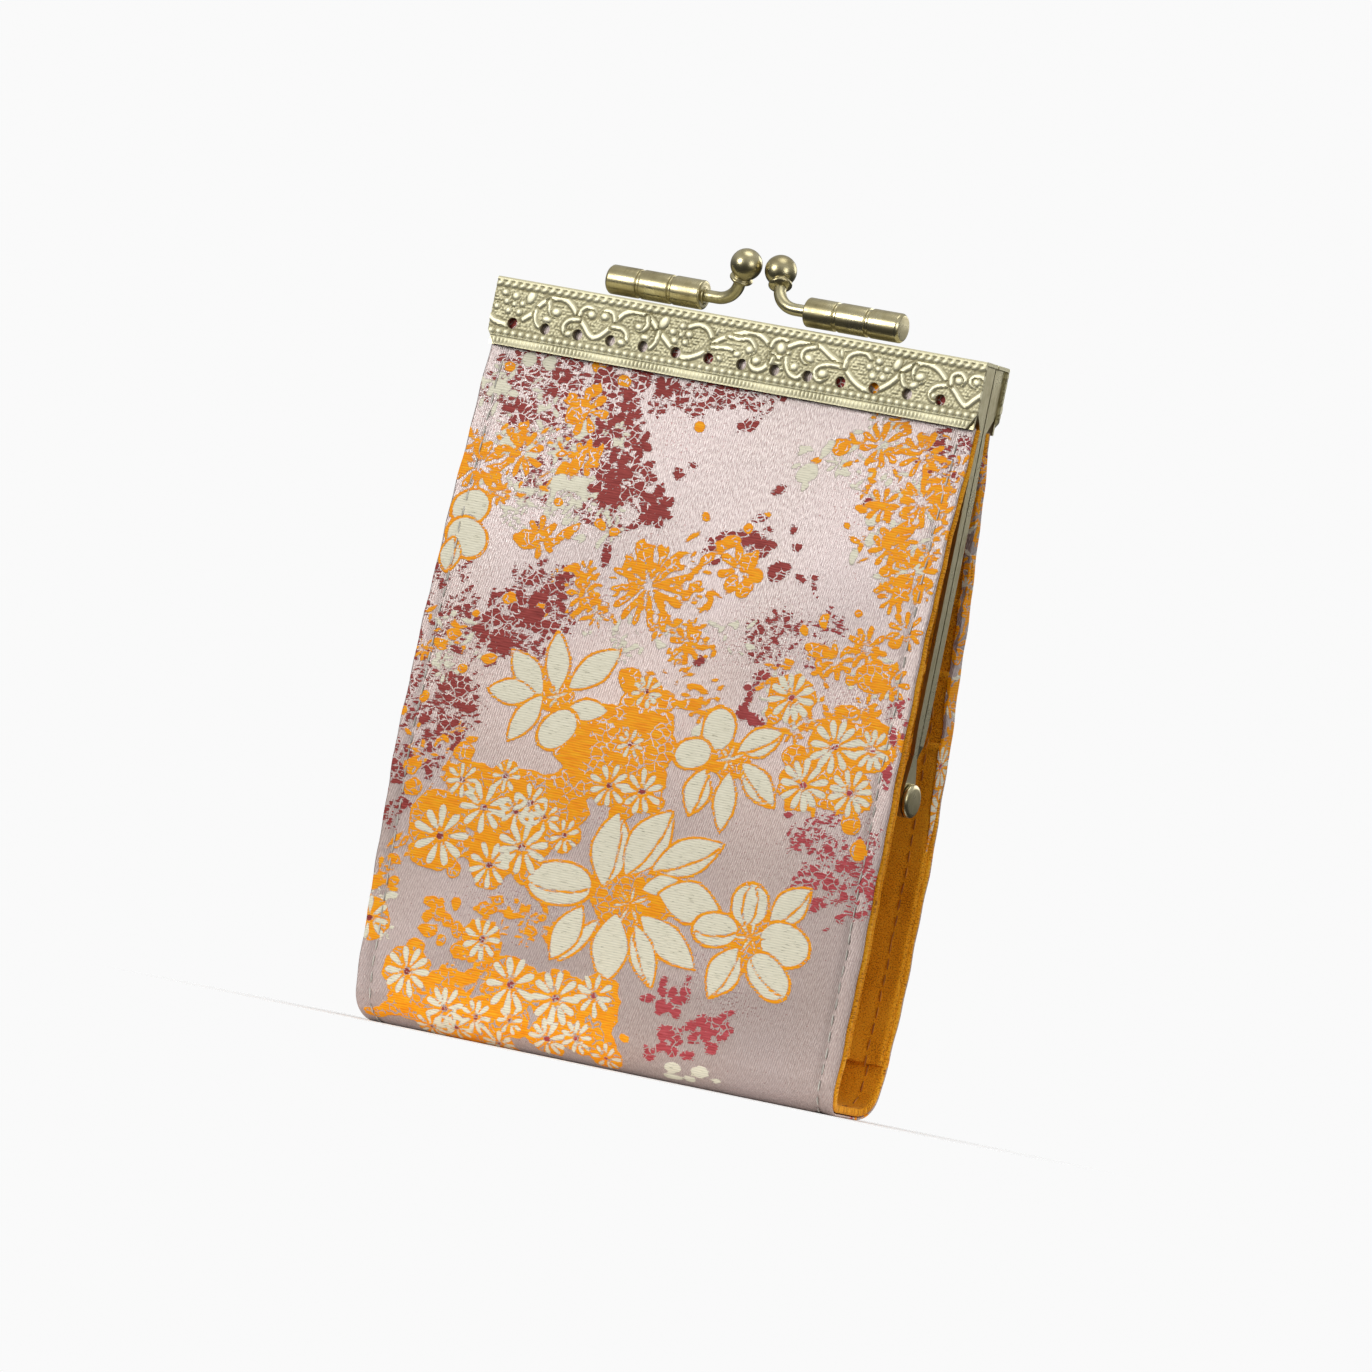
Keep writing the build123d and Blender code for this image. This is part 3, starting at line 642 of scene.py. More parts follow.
def half_width(v):
    """The strip is drawn in a little at the fold, and is slightly uneven."""
    from_fold = np.abs(v - fold_place)
    return (cloth_half_width - 1.5 * np.exp(-(from_fold / 9.5) ** 2)
            + 0.5 * np.sin(np.pi * np.clip((from_fold - 8) / 88, 0, 1)) ** 2
            + 0.07 * np.sin(v / 3.3) + 0.06 * np.sin(v / 1.31))


def cloth_points(x, v, depth):
    """Points of the layered cloth: x across and v along it, depth under the outer face."""
    side = np.where(v >= fold_place, -1.0, 1.0)
    along = np.abs(v - fold_place)
    front, back = section(along, -1), section(along, 1)
    out, up, d_out, d_up = (np.where(side < 0, f, b) for f, b in zip(front, back))
    stand = waves(x, v) - depth
    across = x * half_width(v) / cloth_half_width
    return np.stack([across, side * (out + stand * d_out), up + stand * d_up], -1)


def value_noise(x, v, across, along, seed):
    """Smooth random values from -1 to 1, with patches of the given size in mm."""
    table = np.random.default_rng(seed).uniform(-1, 1, (256, 256))
    p, q = x / across + 500.3, v / along + 500.7
    i, j = np.floor(p).astype(int), np.floor(q).astype(int)
    s, t = p - i, q - j
    s, t = s * s * (3 - 2 * s), t * t * (3 - 2 * t)
    i, j, i1, j1 = i % 256, j % 256, (i + 1) % 256, (j + 1) % 256
    return ((table[i, j] * (1 - s) + table[i1, j] * s) * (1 - t)
            + (table[i, j1] * (1 - s) + table[i1, j1] * s) * t)


# The figure's parts, in mm on the cloth: x across it, and v, which is the height on the front
# and runs on round the fold. They are drawn in this order, each over what is there.
# Flecked areas: (x, v, half width, half height, how dense), in runs of one colour.
flecked = [
    ("burgundy", [(-31, 109, 15, 8, 0.66), (-19, 101, 6, 13, 0.62), (-9, 114, 12, 4.5, 0.7),
        (5, 115, 7, 3, 0.8), (-30, 100, 7, 9, 0.55), (-26, 72, 8, 9, 0.62), (-42, 60, 6, 20, 0.5),
        (-37, 55, 5, 9, 0.5), (-33, 67, 6, 5, 0.6), (-14, 92, 5, 5, 0.42), (-45, 40, 2.5, 9, 0.6),
        (27.5, 79, 3.5, 4, 0.58), (20, 73, 7, 7, 0.40), (36, 45, 8, 5, 0.45),
        (38, 36, 8, 5, 0.55), (43, 40, 3, 8, 0.5), (43.5, 66, 2, 6, 0.6), (41, 110, 5, 5, 0.45)]),
    ("ivory", [(-38, 108, 8, 7, 0.36), (-34, 96, 10, 7, 0.3), (-23, 104, 6, 5, 0.5),
        (-33, 89, 9, 4, 0.45), (-21, 89, 7, 5, 0.5), (-24, 94, 5, 4, 0.5), (32, 108, 9, 7, 0.42),
        (38, 96, 6, 9, 0.45), (18, 105, 5, 4, 0.38), (38, 72, 5, 4, 0.5), (-38, 64, 5, 6, 0.4),
        (24, 66, 6, 5, 0.45), (-44, 18, 4, 5, 0.4), (12, 74, 7, 3, 0.35), (-8, 72, 9, 4, 0.35)]),
    ("orange", [(-35, 97, 11, 7.5, 0.36), (-6, 80, 9, 9, 0.2), (-17, 77, 6, 5, 0.42),
        (30, 110, 10, 5, 0.3), (33, 98, 6, 9, 0.3), (41, 99, 4.5, 15, 0.45), (39, 88, 5, 5, 0.3),
        (3, 84, 5, 7, 0.45), (3, 71, 6, 5, 0.4), (5, 64, 8, 4, 0.5), (33, 74, 8, 4, 0.4),
        (24, 66, 8, 6, 0.5), (37, 62, 9, 5, 0.7), (-18, 21.5, 9, 3.5, 0.5), (-37, 46, 7, 6, 0.4),
        (-41, 66, 5, 5, 0.4), (-43, 26, 3.5, 6, 0.4), (-22, 11, 8, 4, 0.4),
        (34, 53, 9, 5, 0.55)]),
]
# Solid patches: (x, v, half length, half width, turn in degrees), in runs of one colour.
patches = [
    ("orange", [(-26.5, 106.5, 2.4, 1.9, 60), (-24, 111, 1.4, 1, 80), (-28.8, 108.5, 1.4, .9, 0),
        (-35.8, 102.6, 1.1, .9, 0), (-41, 111.8, 1.1, .9, 0), (-24.7, 115, 1.6, 1.4, 0),
        (-19.6, 113, 1.1, .8, 0), (-3.7, 107.7, 1.1, 1, 0), (-24, 98.5, 2.4, 1.2, 80),
        (-21.3, 100, 2.2, 1.2, 80), (-26.6, 96.4, 1.6, 1.2, 60), (-29.8, 83.6, 2.6, 1.5, 0),
        (-27, 85, 2.2, 1.1, 40), (-24, 85, 3.2, .7, 50), (-21.6, 86.8, 1.8, .6, 60),
        (-25.6, 91, 1, .8, 0), (-14.3, 87.6, 1.1, .8, 0), (-17.2, 88.6, 1.4, .7, -40),
        (-19.9, 80.2, 1.2, 1.1, 0), (-30.3, 73.4, 1.3, 1.1, 0), (-24.1, 72.5, 1.3, 1.3, 0),
        (-36, 70.3, .9, .7, 0), (-39.2, 66, 1.4, 1, 0), (-41, 63.8, 1.3, 1.1, 0),
        (-31.6, 63.2, 1.4, .9, 20), (-36, 60.7, 1, .8, 0), (-45.3, 93.5, 1.6, 1.6, 0),
        (-15.8, 75.5, 2, .7, 10), (-8, 84.6, 1.9, .9, 60), (-2.6, 84.6, 2.2, .9, 50),
        (-5, 86, 1.5, .6, -60), (-8.3, 86.6, 1.2, .6, 0), (-10.5, 83.5, 1.2, .8, 80),
        (-1.8, 74, 1.7, .6, -70), (-3.6, 78, 1.6, .6, -40)]),
    ("burgundy", [(8.5, 90.5, 5, 1.5, 12), (4.3, 87, 2, 1.8, 30), (13, 89.3, 3, 1.4, 30),
        (17, 86.5, 2.2, 1.6, 40), (11.3, 94.4, 1.2, .8, 0), (13, 93.2, .7, .4, -40),
        (19.5, 91, .9, .7, 0), (17.8, 93.5, .6, .6, 0), (13.4, 99.8, 1.6, .8, 30),
        (5, 109.5, 2, 1.2, 30), (21.3, 85.5, 1, .8, -30), (24.3, 84, 1, .5, -60),
        (23.4, 86.5, .7, .5, 0), (6.2, 69.2, 1.1, 1, 0)]),
    ("orange", [(6.6, 89.2, 2.3, 1.1, 35), (11.2, 86.8, 2, 1.5, 60), (13, 85, 1.7, 1.3, -20),
        (9, 82.8, 1.8, 1.1, 60), (11.4, 82.3, 1.7, 1.2, 80), (3, 85.5, 3.2, .7, 55),
        (5, 88.7, .6, .6, 0), (1.4, 93, .9, .8, 0), (2, 80.5, 2.6, .7, 60),
        (9.5, 92.4, .8, .7, 0), (12.4, 95.5, .6, .4, 0), (22.5, 108.5, 1.9, 1.5, 0),
        (18.7, 105.4, 1, .5, 30), (42.5, 103.5, 1.5, 3.6, 0), (32.2, 99.9, 1.8, .8, 0),
        (29, 99, 1.1, .7, 0), (38.2, 97, 1.4, 1.3, 0), (35.9, 89.4, 1, .9, 0),
        (39.3, 86.2, 1.3, 1.2, 0), (42.6, 87, 1.1, 1.6, 0), (36.5, 86.8, .6, .6, 0),
        (26.6, 74.6, 1.8, 1.1, -20), (24, 77.6, 1.7, .7, -60), (27.7, 72.7, .8, .9, 0),
        (27.2, 79.4, .9, 1.3, 0), (40.5, 77.8, 1, .7, 0), (33, 82, .8, .7, 0),
        (33.8, 70.7, 1, .7, 0), (4.6, 73, 1.3, 1, -50), (3.5, 71, 1, .7, -50),
        (21.4, 62.6, 1.4, 1.1, 0), (34.6, 65.6, 2.4, 1.5, 0), (32, 62.3, 2.3, 2, 0),
        (40.6, 63.3, 3, 2, -20), (7.8, 64.6, 1.3, .7, 0), (6.4, 61.8, 2.6, 1, 15),
        (1, 61.4, 3.2, 1.6, 0), (1.5, 58.5, 3, 1.8, 0), (-5, 63.8, 3, 2.2, -20),
        (-2.5, 60, 4, 3.6, 0), (-6, 56, 8, 3.6, 5), (-10.5, 51, 6.5, 3.8, 0),
        (-3, 51, 5.5, 4.2, 0), (1.8, 54, 3.6, 4.6, 0), (2.5, 48.5, 2.6, 3, 0),
        (-10.5, 45.6, 6, 2.4, 0), (-14, 41, 6, 4.5, 0), (-20.5, 41, 7, 5.2, 0),
        (-29, 42, 6, 3.6, 0), (-35.6, 34.5, 5, 5.8, 0), (-35.4, 29, 4.6, 2.4, 0),
        (-30.8, 27.5, 1.3, 1.6, 0), (-22, 35.6, 7, 3.4, 0), (-26.8, 31.8, 3, 2, 30),
        (-17.5, 31, 3, 4, 0), (-32.6, 46.9, 1.8, 1.7, 0), (-31.8, 49.3, 1, .8, 0),
        (-41.9, 43, 1.3, 1.6, 0), (-40.8, 39.8, 1.8, 1.6, 40), (-42, 55, 1, 1.1, 0),
        (-45.4, 52, .9, .9, 0), (-42, 27.4, 1.2, .9, 0), (-41.8, 23.7, 1.4, .9, 10),
        (-45, 22.8, 1.5, 1.3, 0), (-45, 19.4, 1.5, 1, 0), (-28.6, 42.6, 1.4, 1.2, 0),
        (-1.5, 42.8, 3.2, 1.6, 30), (4.2, 44.4, 1.8, 1.2, 40), (-34, 21.6, 1.6, 1, 0),
        (-32.3, 20.5, 1.8, 1.3, 90), (-34.2, 18.8, 1, 1.1, 0), (-33.4, 16.8, 1.9, 1.1, 0),
        (-29.2, 21.8, .9, 1.3, 0), (-30.3, 19, 1, 1.2, 0), (-28, 17.8, 1, 1.5, 0),
        (-30.9, 15.6, .8, 1.1, 0), (-27.8, 14.3, 1.3, 1.2, 40), (-23.3, 22, 1.8, 1.2, 0),
        (-21.4, 24, 1.4, .9, 20), (-18.6, 21.8, 1.5, .8, 0), (-14.6, 20, 1.3, .8, 0),
        (-13, 22.4, 1, .6, 0), (-35.4, 13.2, 1.9, 2, 0), (-36, 9.5, 4.2, 4.2, 0),
        (-30, 8.2, 3.2, 2.4, 0), (-34.6, 4, 4.6, 3, 0), (-38.3, 2.8, 2.2, 1.6, 20),
        (-42, 1, 2.6, 1.1, 10), (-26, 10, 3, 1.2, -10), (-26.8, 4.4, 4.6, 3.6, 0),
        (-20.4, 5, 4.6, 2.8, 0), (-15, 5, 3, 3.4, 0), (-22.6, 12.6, 1.6, 1, 30),
        (-21, 14, 1.3, .7, 0), (-12, 3, 1.7, 1, -30), (-25.4, -.6, 4, 2.6, 0),
        (-8, 12.4, 2.2, 1.6, 0), (-4.8, 11.8, 2.6, 2.2, 0), (-2.6, 9, 3.2, 3, 0),
        (1.6, 9.2, 2.6, 4.4, 0), (-6.8, 7, 2.6, 1.5, 0), (2.2, 3.6, 2.6, 2.8, 0),
        (5.8, 5.5, 1.1, .7, -30), (.8, 13.4, 2.6, 1.2, 0), (37, 60, 7.5, 4.4, 0),
        (33.5, 53.5, 7.6, 4.4, -8), (24, 66.2, 4.4, 4, 0), (38, 72, 3.4, 2.8, 0),
        (2.5, 29.5, 7.6, 7.2, 0), (39.4, 47.6, 2, 1.7, 0)]),
    ("burgundy", [(-41.6, 119, 2.2, 2, 0), (-4.6, 119, 1.6, 2, 0), (19.8, 119, 2.2, 2, 0)]),
    ("orange", [(26.4, 118.6, 2, 1.6, 0)]),
    ("burgundy", [(38.6, 118.6, 1.7, 1.5, 0)]),
    ("orange", [(38, 119.9, .9, .5, 0), (41.4, 43.6, 1.3, 1.7, 0), (34, 56, 6, 2.6, -10),
        (27, 56.5, 2.4, 2.2, 0), (29.5, 53.5, 2.6, 3.4, -60), (27.4, 49, .8, 2.6, 0),
        (40.2, 52, 1.5, 2.4, 0)]),
    ("burgundy", [(-14.8, 83.4, 1.1, 2.1, 0), (-28.2, 86.4, 1.3, .9, 0),
        (-21.6, 78.7, 1.7, .9, 10), (-24, 77, 1.2, .7, 0), (-28.4, 77, 1.6, .9, -20),
        (-24.4, 70.2, 4.4, 1.1, 0), (-30.6, 65.8, 2.4, 1.7, 0), (-32, 71, 1.3, .9, 0),
        (-5.3, 99.2, 1.1, .9, 0), (-3.3, 101.1, .8, .6, 0), (-28.4, 90.6, .7, 1.2, 0),
        (-36.3, 51.4, 1.6, 1.3, 30), (-36.6, 54.6, 1.7, .7, 0), (-33.2, 54.4, 1.6, .7, 10),
        (-34.6, 49.4, 1.3, .7, 10), (-41.2, 51.3, 1.2, .8, 40), (-39, 46.5, 1.3, .9, -30),
        (-38.6, 43, .7, 2, 0), (-42, 36.6, 1.1, .9, 0), (-38.3, 63.5, 1.8, .5, 0),
        (18, 69, 1.9, .9, 30), (16.3, 65.8, 1, 2, 20), (16, 62.4, 1, 1.5, 0),
        (18.6, 61.4, 2.2, 1.1, -20), (20.2, 60.3, 1.3, .6, 0), (43.4, 68.4, 1, 1, 0),
        (43.4, 62.6, .9, 2, 0), (43.9, 56.4, 1, 2, 0), (39.6, 111.6, 1.9, 1.4, 0),
        (43.7, 107.2, 1, .7, 0), (29.8, 100.3, .8, .9, 0), (27.7, 47.2, .9, .8, 0),
        (34.4, 44.6, 1.2, .7, 0), (36.3, 42.7, 1.2, .7, -30), (32.4, 42.8, .8, .5, -40),
        (31.2, 44.3, .6, .6, 0), (37.4, 37.4, 2.1, 1.6, -20), (34.3, 36.4, 1.7, 1, 10),
        (32.2, 38.1, .8, .8, 0), (34.5, 38.4, .8, .7, 0), (35.6, 33, .9, 1.4, 0),
        (38.6, 34.4, .9, .6, 0), (41, 32.4, 1.4, .6, 30), (42.2, 35.7, 1, .5, -30),
        (33.6, 29, .8, .7, 0), (38.5, 29.8, .8, .4, 20)]),
    ("ivory", [(17.8, 103.4, 2.2, 1.5, 35), (20.2, 107.8, 1.6, .8, 70), (31.6, 97.7, 1.4, 1.1, 0),
        (32, 94.1, .9, 1.2, 0), (29.7, 91, .7, 1.2, 0), (-37.8, 113.6, 1.1, 1.3, 0),
        (-34, 114, 1.2, 1.1, 0), (-41.8, 108.2, 1.6, 1.3, 0), (-37.6, 99, 1.4, 1.6, 0),
        (-33.2, 98.2, 1.2, 1.6, 20), (-22.6, 94.2, 2.4, 1.6, -10), (-26.4, 94, 1.5, 1.6, 0),
        (-23.4, 104.2, 2.2, 1.4, 0), (9, 57.8, 1.2, 1.4, 0), (20.6, 2.4, 1.9, 1, 0),
        (15.6, 2.2, 1.5, 1, 10), (23.6, 1.4, 1.3, .7, 0), (15.2, .2, 2, .6, 0),
        (18.4, .4, 1.1, .7, 0)]),
]
# Large petals, ivory in an orange outline: (x, v, half length, half width, turn, ribs, pointed).
petals = [
    # the lily over the middle
    (-12.3, 64.6, 5.4, 2.3, 45, 0, 1), (-19.2, 64.6, 5, 2, 102, 0, 1),
    (-24.2, 62, 4.6, 2.2, -42, 0, 1), (-26.4, 58.4, 4.2, 2, 4, 0, 1),
    (-22.9, 54.6, 4.6, 1.9, 62, 0, 1), (-12, 57.7, 3.7, 1.7, 8, 0, 1),
    (-16.6, 53.7, 3.8, 2.7, 48, 0, 0),
    # the lily to its right
    (12.4, 58.8, 3.4, 2.7, 90, 0, 0), (20.2, 57.9, 4.2, 2.2, 32, 1, 1),
    (21.2, 51, 4.7, 2.2, -40, 1, 1), (16, 47.3, 4.8, 1.8, 92, 0, 1),
    (10.8, 48, 3.9, 2.2, 80, 1, 1), (8.7, 54, 3.2, 2.3, 20, 0, 0),
    # the large dahlia
    (-2.6, 35.8, 6.2, 3.4, 88, 1, 1), (3.9, 38, 6.6, 3.4, 62, 1, 1),
    (11.4, 37, 6.6, 2.9, 28, 1, 1), (-10.8, 28.7, 5.9, 3.4, 4, 1, 0),
    (7.6, 31.6, 3.4, 1.6, 20, 0, 1), (13.2, 29.8, 5.6, 3.3, -4, 0, 1),
    (10.6, 22.6, 6.6, 2.5, -31, 0, 1), (6.6, 19.6, 5.4, 2.1, -62, 1, 1),
    (.4, 19.8, 5.7, 3.2, 90, 0, 1), (-5.6, 20, 4.8, 1.1, 52, 0, 1), (-8, 20.9, 5, 2.3, 66, 0, 1),
    # the open flower at the right
    (24.2, 31.3, 3.4, 3.1, 92, 2, 0), (31.4, 32.2, 4.5, 2.6, 50, 1, 1),
    (31.6, 26, 4.5, 3.2, -14, 0, 0), (29.8, 20.3, 4.5, 2.8, -36, 1, 0),
    (21.8, 19.6, 4.7, 2.8, 68, 1, 1), (18.8, 26.2, 4, 2.6, 8, 1, 0),
    # a half-hidden bloom by the left edge
    (-41.6, 87.4, 3.4, 2.8, 30, 0, 0), (-41, 82.3, 3.8, 3, -20, 0, 0),
    (-43.4, 79, 2.8, 1.8, 90, 1, 1),
]
# Flower middles, with short orange rays: (x, v, radius).
bursts = [(-18.2, 58.9, 2.3), (15.4, 54.2, 2.5), (2.6, 27.6, 3.4), (25.3, 26.2, 2.8)]
# Daisies: (x, v, radius, petals, turn).
daisies = [
    (33.6, 59.6, 3.9, 10, 14), (40.4, 60.2, 3.0, 9, 20), (-34.4, 32.5, 4.4, 8, 10),
    (-27.3, 38.6, 3.8, 8, 30), (-21.3, 39, 2.6, 7, 0), (-18.8, 40.8, 2.8, 7, 20),
    (-15.7, 39, 2.3, 7, 45), (-24.2, 44.4, 2.3, 7, 0), (-18.8, 33.2, 4, 9, 15),
    (-24.3, 29.4, 3.4, 8, 0), (-11.6, 36.6, 2.5, 7, 20), (-32, 42.4, 2.6, 7, 10),
    (-5.1, 46.2, 3.2, 8, 0), (-2.8, 53.6, 2.2, 7, 30), (1, 46.2, 3.2, 8, 20),
    (-23.3, 17, 3.1, 8, 0), (-36.2, 9.3, 3.7, 9, 0), (-16.6, 10.5, 4.1, 8, 25),
    (-8, 9.8, 4, 9, 10), (-1, 11.5, 3.1, 8, 0), (-28.3, 4.3, 3.3, 9, 20), (-22.3, 4, 2.6, 8, 0),
    (-26.3, 1.4, 2.6, 7, 0), (-15.8, 4.6, 2.2, 7, 10), (-8.6, 2.8, 3, 8, 20),
    (-45, 16.8, 3.2, 7, 0), (-31.4, .4, 2.6, 8, 15), (-18.6, -.6, 2.8, 8, 0), (-3, 4, 2.6, 8, 10),
    (2.6, 1.4, 2.4, 7, 0), (29.4, 52.4, 3.8, 10, 20), (38, 52.6, 3.4, 10, 10),
    (24, 66.2, 3.6, 10, 0), (-2, 62.6, 2.4, 8, 0), (13.6, -9.2, 3.4, 8, 0),
    (34, -8.6, 3.2, 8, 20), (-38.4, -8.8, 3, 8, 10),
]
# Small blossoms of a few petals: (x, v, radius, petals, turn), in runs of one colour.
blossoms = [
    ("burgundy", [(-8, 94, 3.2, 5, 20), (-17.2, 107.6, 2.6, 5, 0), (-17, 98.4, 2.8, 5, 40),
        (-11.6, 113.2, 2.4, 5, 10), (-30.4, 110.4, 2.4, 5, 0), (-37.6, 104.6, 2.4, 5, 30),
        (-12.5, 97.5, 3.8, 6, 0), (-18, 95, 3.4, 6, 20), (-7.6, 92.4, 3.2, 6, 0),
        (-20.5, 104, 3.2, 6, 10), (-27, 72.4, 3.6, 6, 0), (-22.6, 75, 3, 6, 20),
        (-32.6, 68, 3.2, 6, 0), (-37, 57, 3, 6, 0), (-14, 103, 2.8, 6, 0), (-15.6, 93, 2.4, 5, 0),
        (-23.2, 113, 2.2, 5, 0)]),
    ("orange", [(-25, 106.8, 4.2, 7, 0), (-23, 99, 3.2, 7, 30), (10, 85.4, 4.2, 7, 0),
        (-6, 80, 7, 15, 0), (-6, 80, 4, 9, 10), (-42, 94.6, 4.6, 9, 0), (-34.8, 98, 4.2, 9, 20),
        (-27.4, 84.6, 3.6, 8, 0), (35.6, 76.4, 3.8, 9, 0), (42, 80.4, 3.4, 9, 10),
        (30.8, 73.4, 3.2, 8, 20), (41.2, 71.6, 3.4, 9, 0), (39.6, 102, 4.4, 10, 0),
        (35.6, 93.4, 3.6, 9, 0), (41.4, 90.4, 3.8, 9, 15), (37.4, 109.6, 4.2, 10, 0),
        (32.6, 100.2, 3.2, 8, 0), (29.6, 110, 4, 9, 0), (3.4, 71.6, 3.4, 8, 0),
        (38.4, 85.6, 3, 8, 0), (-17.4, 76.6, 3, 8, 0)]),
    ("burgundy", [(12.6, 13.4, 2.6, 5, 0), (19.2, 9.4, 2.6, 5, 30), (14, 6.4, 2.8, 5, 10),
        (23, 10.6, 2.6, 5, 0)]),
]
# Berries on the lower sprig: (x, v, half length, half width, turn).
sprig = [
    (9, 13, 1.3, .8, 10), (11.3, 16, 1, .7, 80), (12.2, 11.6, 1.4, .8, 20),
    (14.4, 11.4, 1, 1.3, 0), (15.6, 14.6, 1, 1.6, 0), (15.8, 17.2, .6, .8, 0),
    (19.7, 11.4, .9, 1, 0), (23.3, 11.2, 1.1, 1.6, 30), (24.6, 13.1, .8, .5, 0),
    (17.1, 9.4, .8, .7, 0), (18.6, 7.8, 1.3, 1, 20), (22.1, 7, 1.2, 1.2, 0),
    (13.2, 8.2, 1.4, 1.1, 20), (15.8, 8.2, .7, .8, 0), (14.5, 5.2, 1.4, 1, 0),
    (18, 4.8, 1.3, .8, 10), (11, 3.6, 1.1, 1.1, 0), (23.8, 9, .9, .7, 0), (10.2, 4.9, .6, .4, 0),
]
layers = ("orange", "ivory", "burgundy")
blossom_share = 0.12                             # of the flecks, these open into small blossoms


def woven_figure(x, v):
    """Where each figure colour shows: distance inside its edge in mm, below 0 outside it."""
    pv = np.where(v < fold_place, v + pattern_repeat, v)
    field = {name: np.full(x.shape, -3.0) for name in layers}
    wander = value_noise(x, pv, 1.5, 1.1, 5)

    def draw(colour, cx, cv, turn, reach, shape, ragged):
        """Draws one shape over what is there. shape gets each point's place along and across."""
        rows = np.nonzero(np.abs(pv[:, 0] - cv) < reach + 3)[0]
        columns = np.nonzero(np.abs(x[0] - cx) < reach + 3)[0]
        if not len(rows) or not len(columns):
            return
        here = np.ix_(rows, columns)
        c, s = math.cos(math.radians(turn)), math.sin(math.radians(turn))
        dx, dv = x[here] - cx, pv[here] - cv
        inside = shape(dx * c + dv * s, dv * c - dx * s) + ragged * wander[here]
        for name in layers:
            if name == colour:
                field[name][here] = np.maximum(field[name][here], inside)
            else:
                field[name][here] = np.minimum(field[name][here], -inside)

    def oval(length, width):
        return lambda p, q: (1 - np.hypot(p / length, q / width)) * min(length, width)

    def leaf(length, width, pointed=0):
        def shape(p, q):
            left = np.clip(1 - np.abs(p / length) ** (1.7 if pointed else 2.4), 0, 1)
            side = width * left ** (0.9 if pointed else 0.55) - np.abs(q)
            return np.minimum(side, length - np.abs(p))
        return shape

    def wedge(length, width):
        def shape(p, q):
            t = np.clip((p + length) / (2 * length), 0, 1)
            side = width * 1.25 * t ** 0.75 * np.sqrt(1 - t ** 4) - np.abs(q)
            return np.minimum(side, length - np.abs(p))
        return shape

    def ring_of(colour, cx, cv, radius, count, turn, size, ragged, petal=leaf):
        for i in range(count):
            angle = turn + (i + 0.14 * math.sin(i * 5.0 + cx)) * 360 / count
            reach = radius * (0.60 + 0.04 * math.sin(i * 3.0 + cv))
            draw(colour, cx + reach * math.cos(math.radians(angle)),
                 cv + reach * math.sin(math.radians(angle)), angle, radius,
                 petal(radius * size[0], radius * size[1]), ragged)

    areas = [(colour, *area) for colour, group in flecked for area in group]
    for number, (colour, cx, cv, wide, high, dense) in enumerate(areas):
        random = np.random.default_rng(60 + number)
        crowding = 2.3 if colour == "burgundy" else 1.6
        for _ in range(int(crowding * dense * wide * high)):
            ring, angle = math.sqrt(random.uniform(0, 1)), random.uniform(0, 2 * math.pi)
            fx, fv = cx + wide * ring * math.cos(angle), cv + high * ring * math.sin(angle)
            if random.uniform(0, 1) < blossom_share:
                ring_of(colour, fx, fv, random.uniform(1.6, 2.6), 7, random.uniform(0, 72),
                        (0.40, 0.16), 0.1, wedge)
            else:
                draw(colour, fx, fv, random.uniform(-50, 90), 2,
                     oval(random.uniform(0.45, 1.25), random.uniform(0.22, 0.46)), 0.2)
    for colour, group in patches:
        for cx, cv, length, width, turn in group:
            draw(colour, cx, cv, turn, max(length, width), oval(length, width), 0.34)
    for colour, group in blossoms:
        for cx, cv, radius, count, turn in group:
            slim = wedge if count > 6 else leaf
            ring_of(colour, cx, cv, radius, count, turn, (0.42, 1.5 / count), 0.12, slim)
    for cx, cv, length, width, turn in sprig:
        draw("burgundy", cx, cv, turn, 2, oval(length, width), 0.2)
    for cx, cv, radius in bursts:
        draw("orange", cx, cv, 0, radius * 1.9, oval(radius * 1.5, radius * 1.3), 0.5)
    for cx, cv, length, width, turn, ribs, pointed in petals:
        draw("orange", cx, cv, turn, length, leaf(length + 0.65, width + 0.52, pointed), 0.1)
        draw("ivory", cx, cv, turn, length, leaf(length, width, pointed), 0.05)
        for rib in range(ribs):
            def rib_line(p, q, side=(-1) ** rib):
                place = side * width * 0.4 * np.clip(1.15 - (p / length) ** 2, 0, 1)
                return np.minimum(0.24 - np.abs(q + place), length * 0.94 - np.abs(p))
            draw("orange", cx, cv, turn, length, rib_line, 0.08)
    for cx, cv, radius in bursts:
        for i in range(13):
            angle = i * 360 / 13
            draw("ivory" if i % 2 else "orange", cx + 0.55 * radius * math.cos(math.radians(angle)),
                 cv + 0.55 * radius * math.sin(math.radians(angle)), angle, radius,
                 leaf(radius * 0.45, 0.2, 1), 0.06)
    for cx, cv, radius, count, turn in daisies:
        draw("orange", cx, cv, 0, 1.3 * radius, oval(1.22 * radius, 1.15 * radius), 0.5)
    for cx, cv, radius, count, turn in daisies:
        ring_of("ivory", cx, cv, 1.16 * radius, count + 1, turn, (0.40, 0.15), 0.07, wedge)
        draw("burgundy", cx, cv, 0, radius, oval(0.13 * radius + 0.2, 0.12 * radius + 0.16), 0.1)
    fade = 2.4 * np.clip(1 - np.abs(v - fold_place) / 2.2, 0, 1)
    return np.stack([np.clip(field[name] - fade, -2, 2) for name in layers], -1)


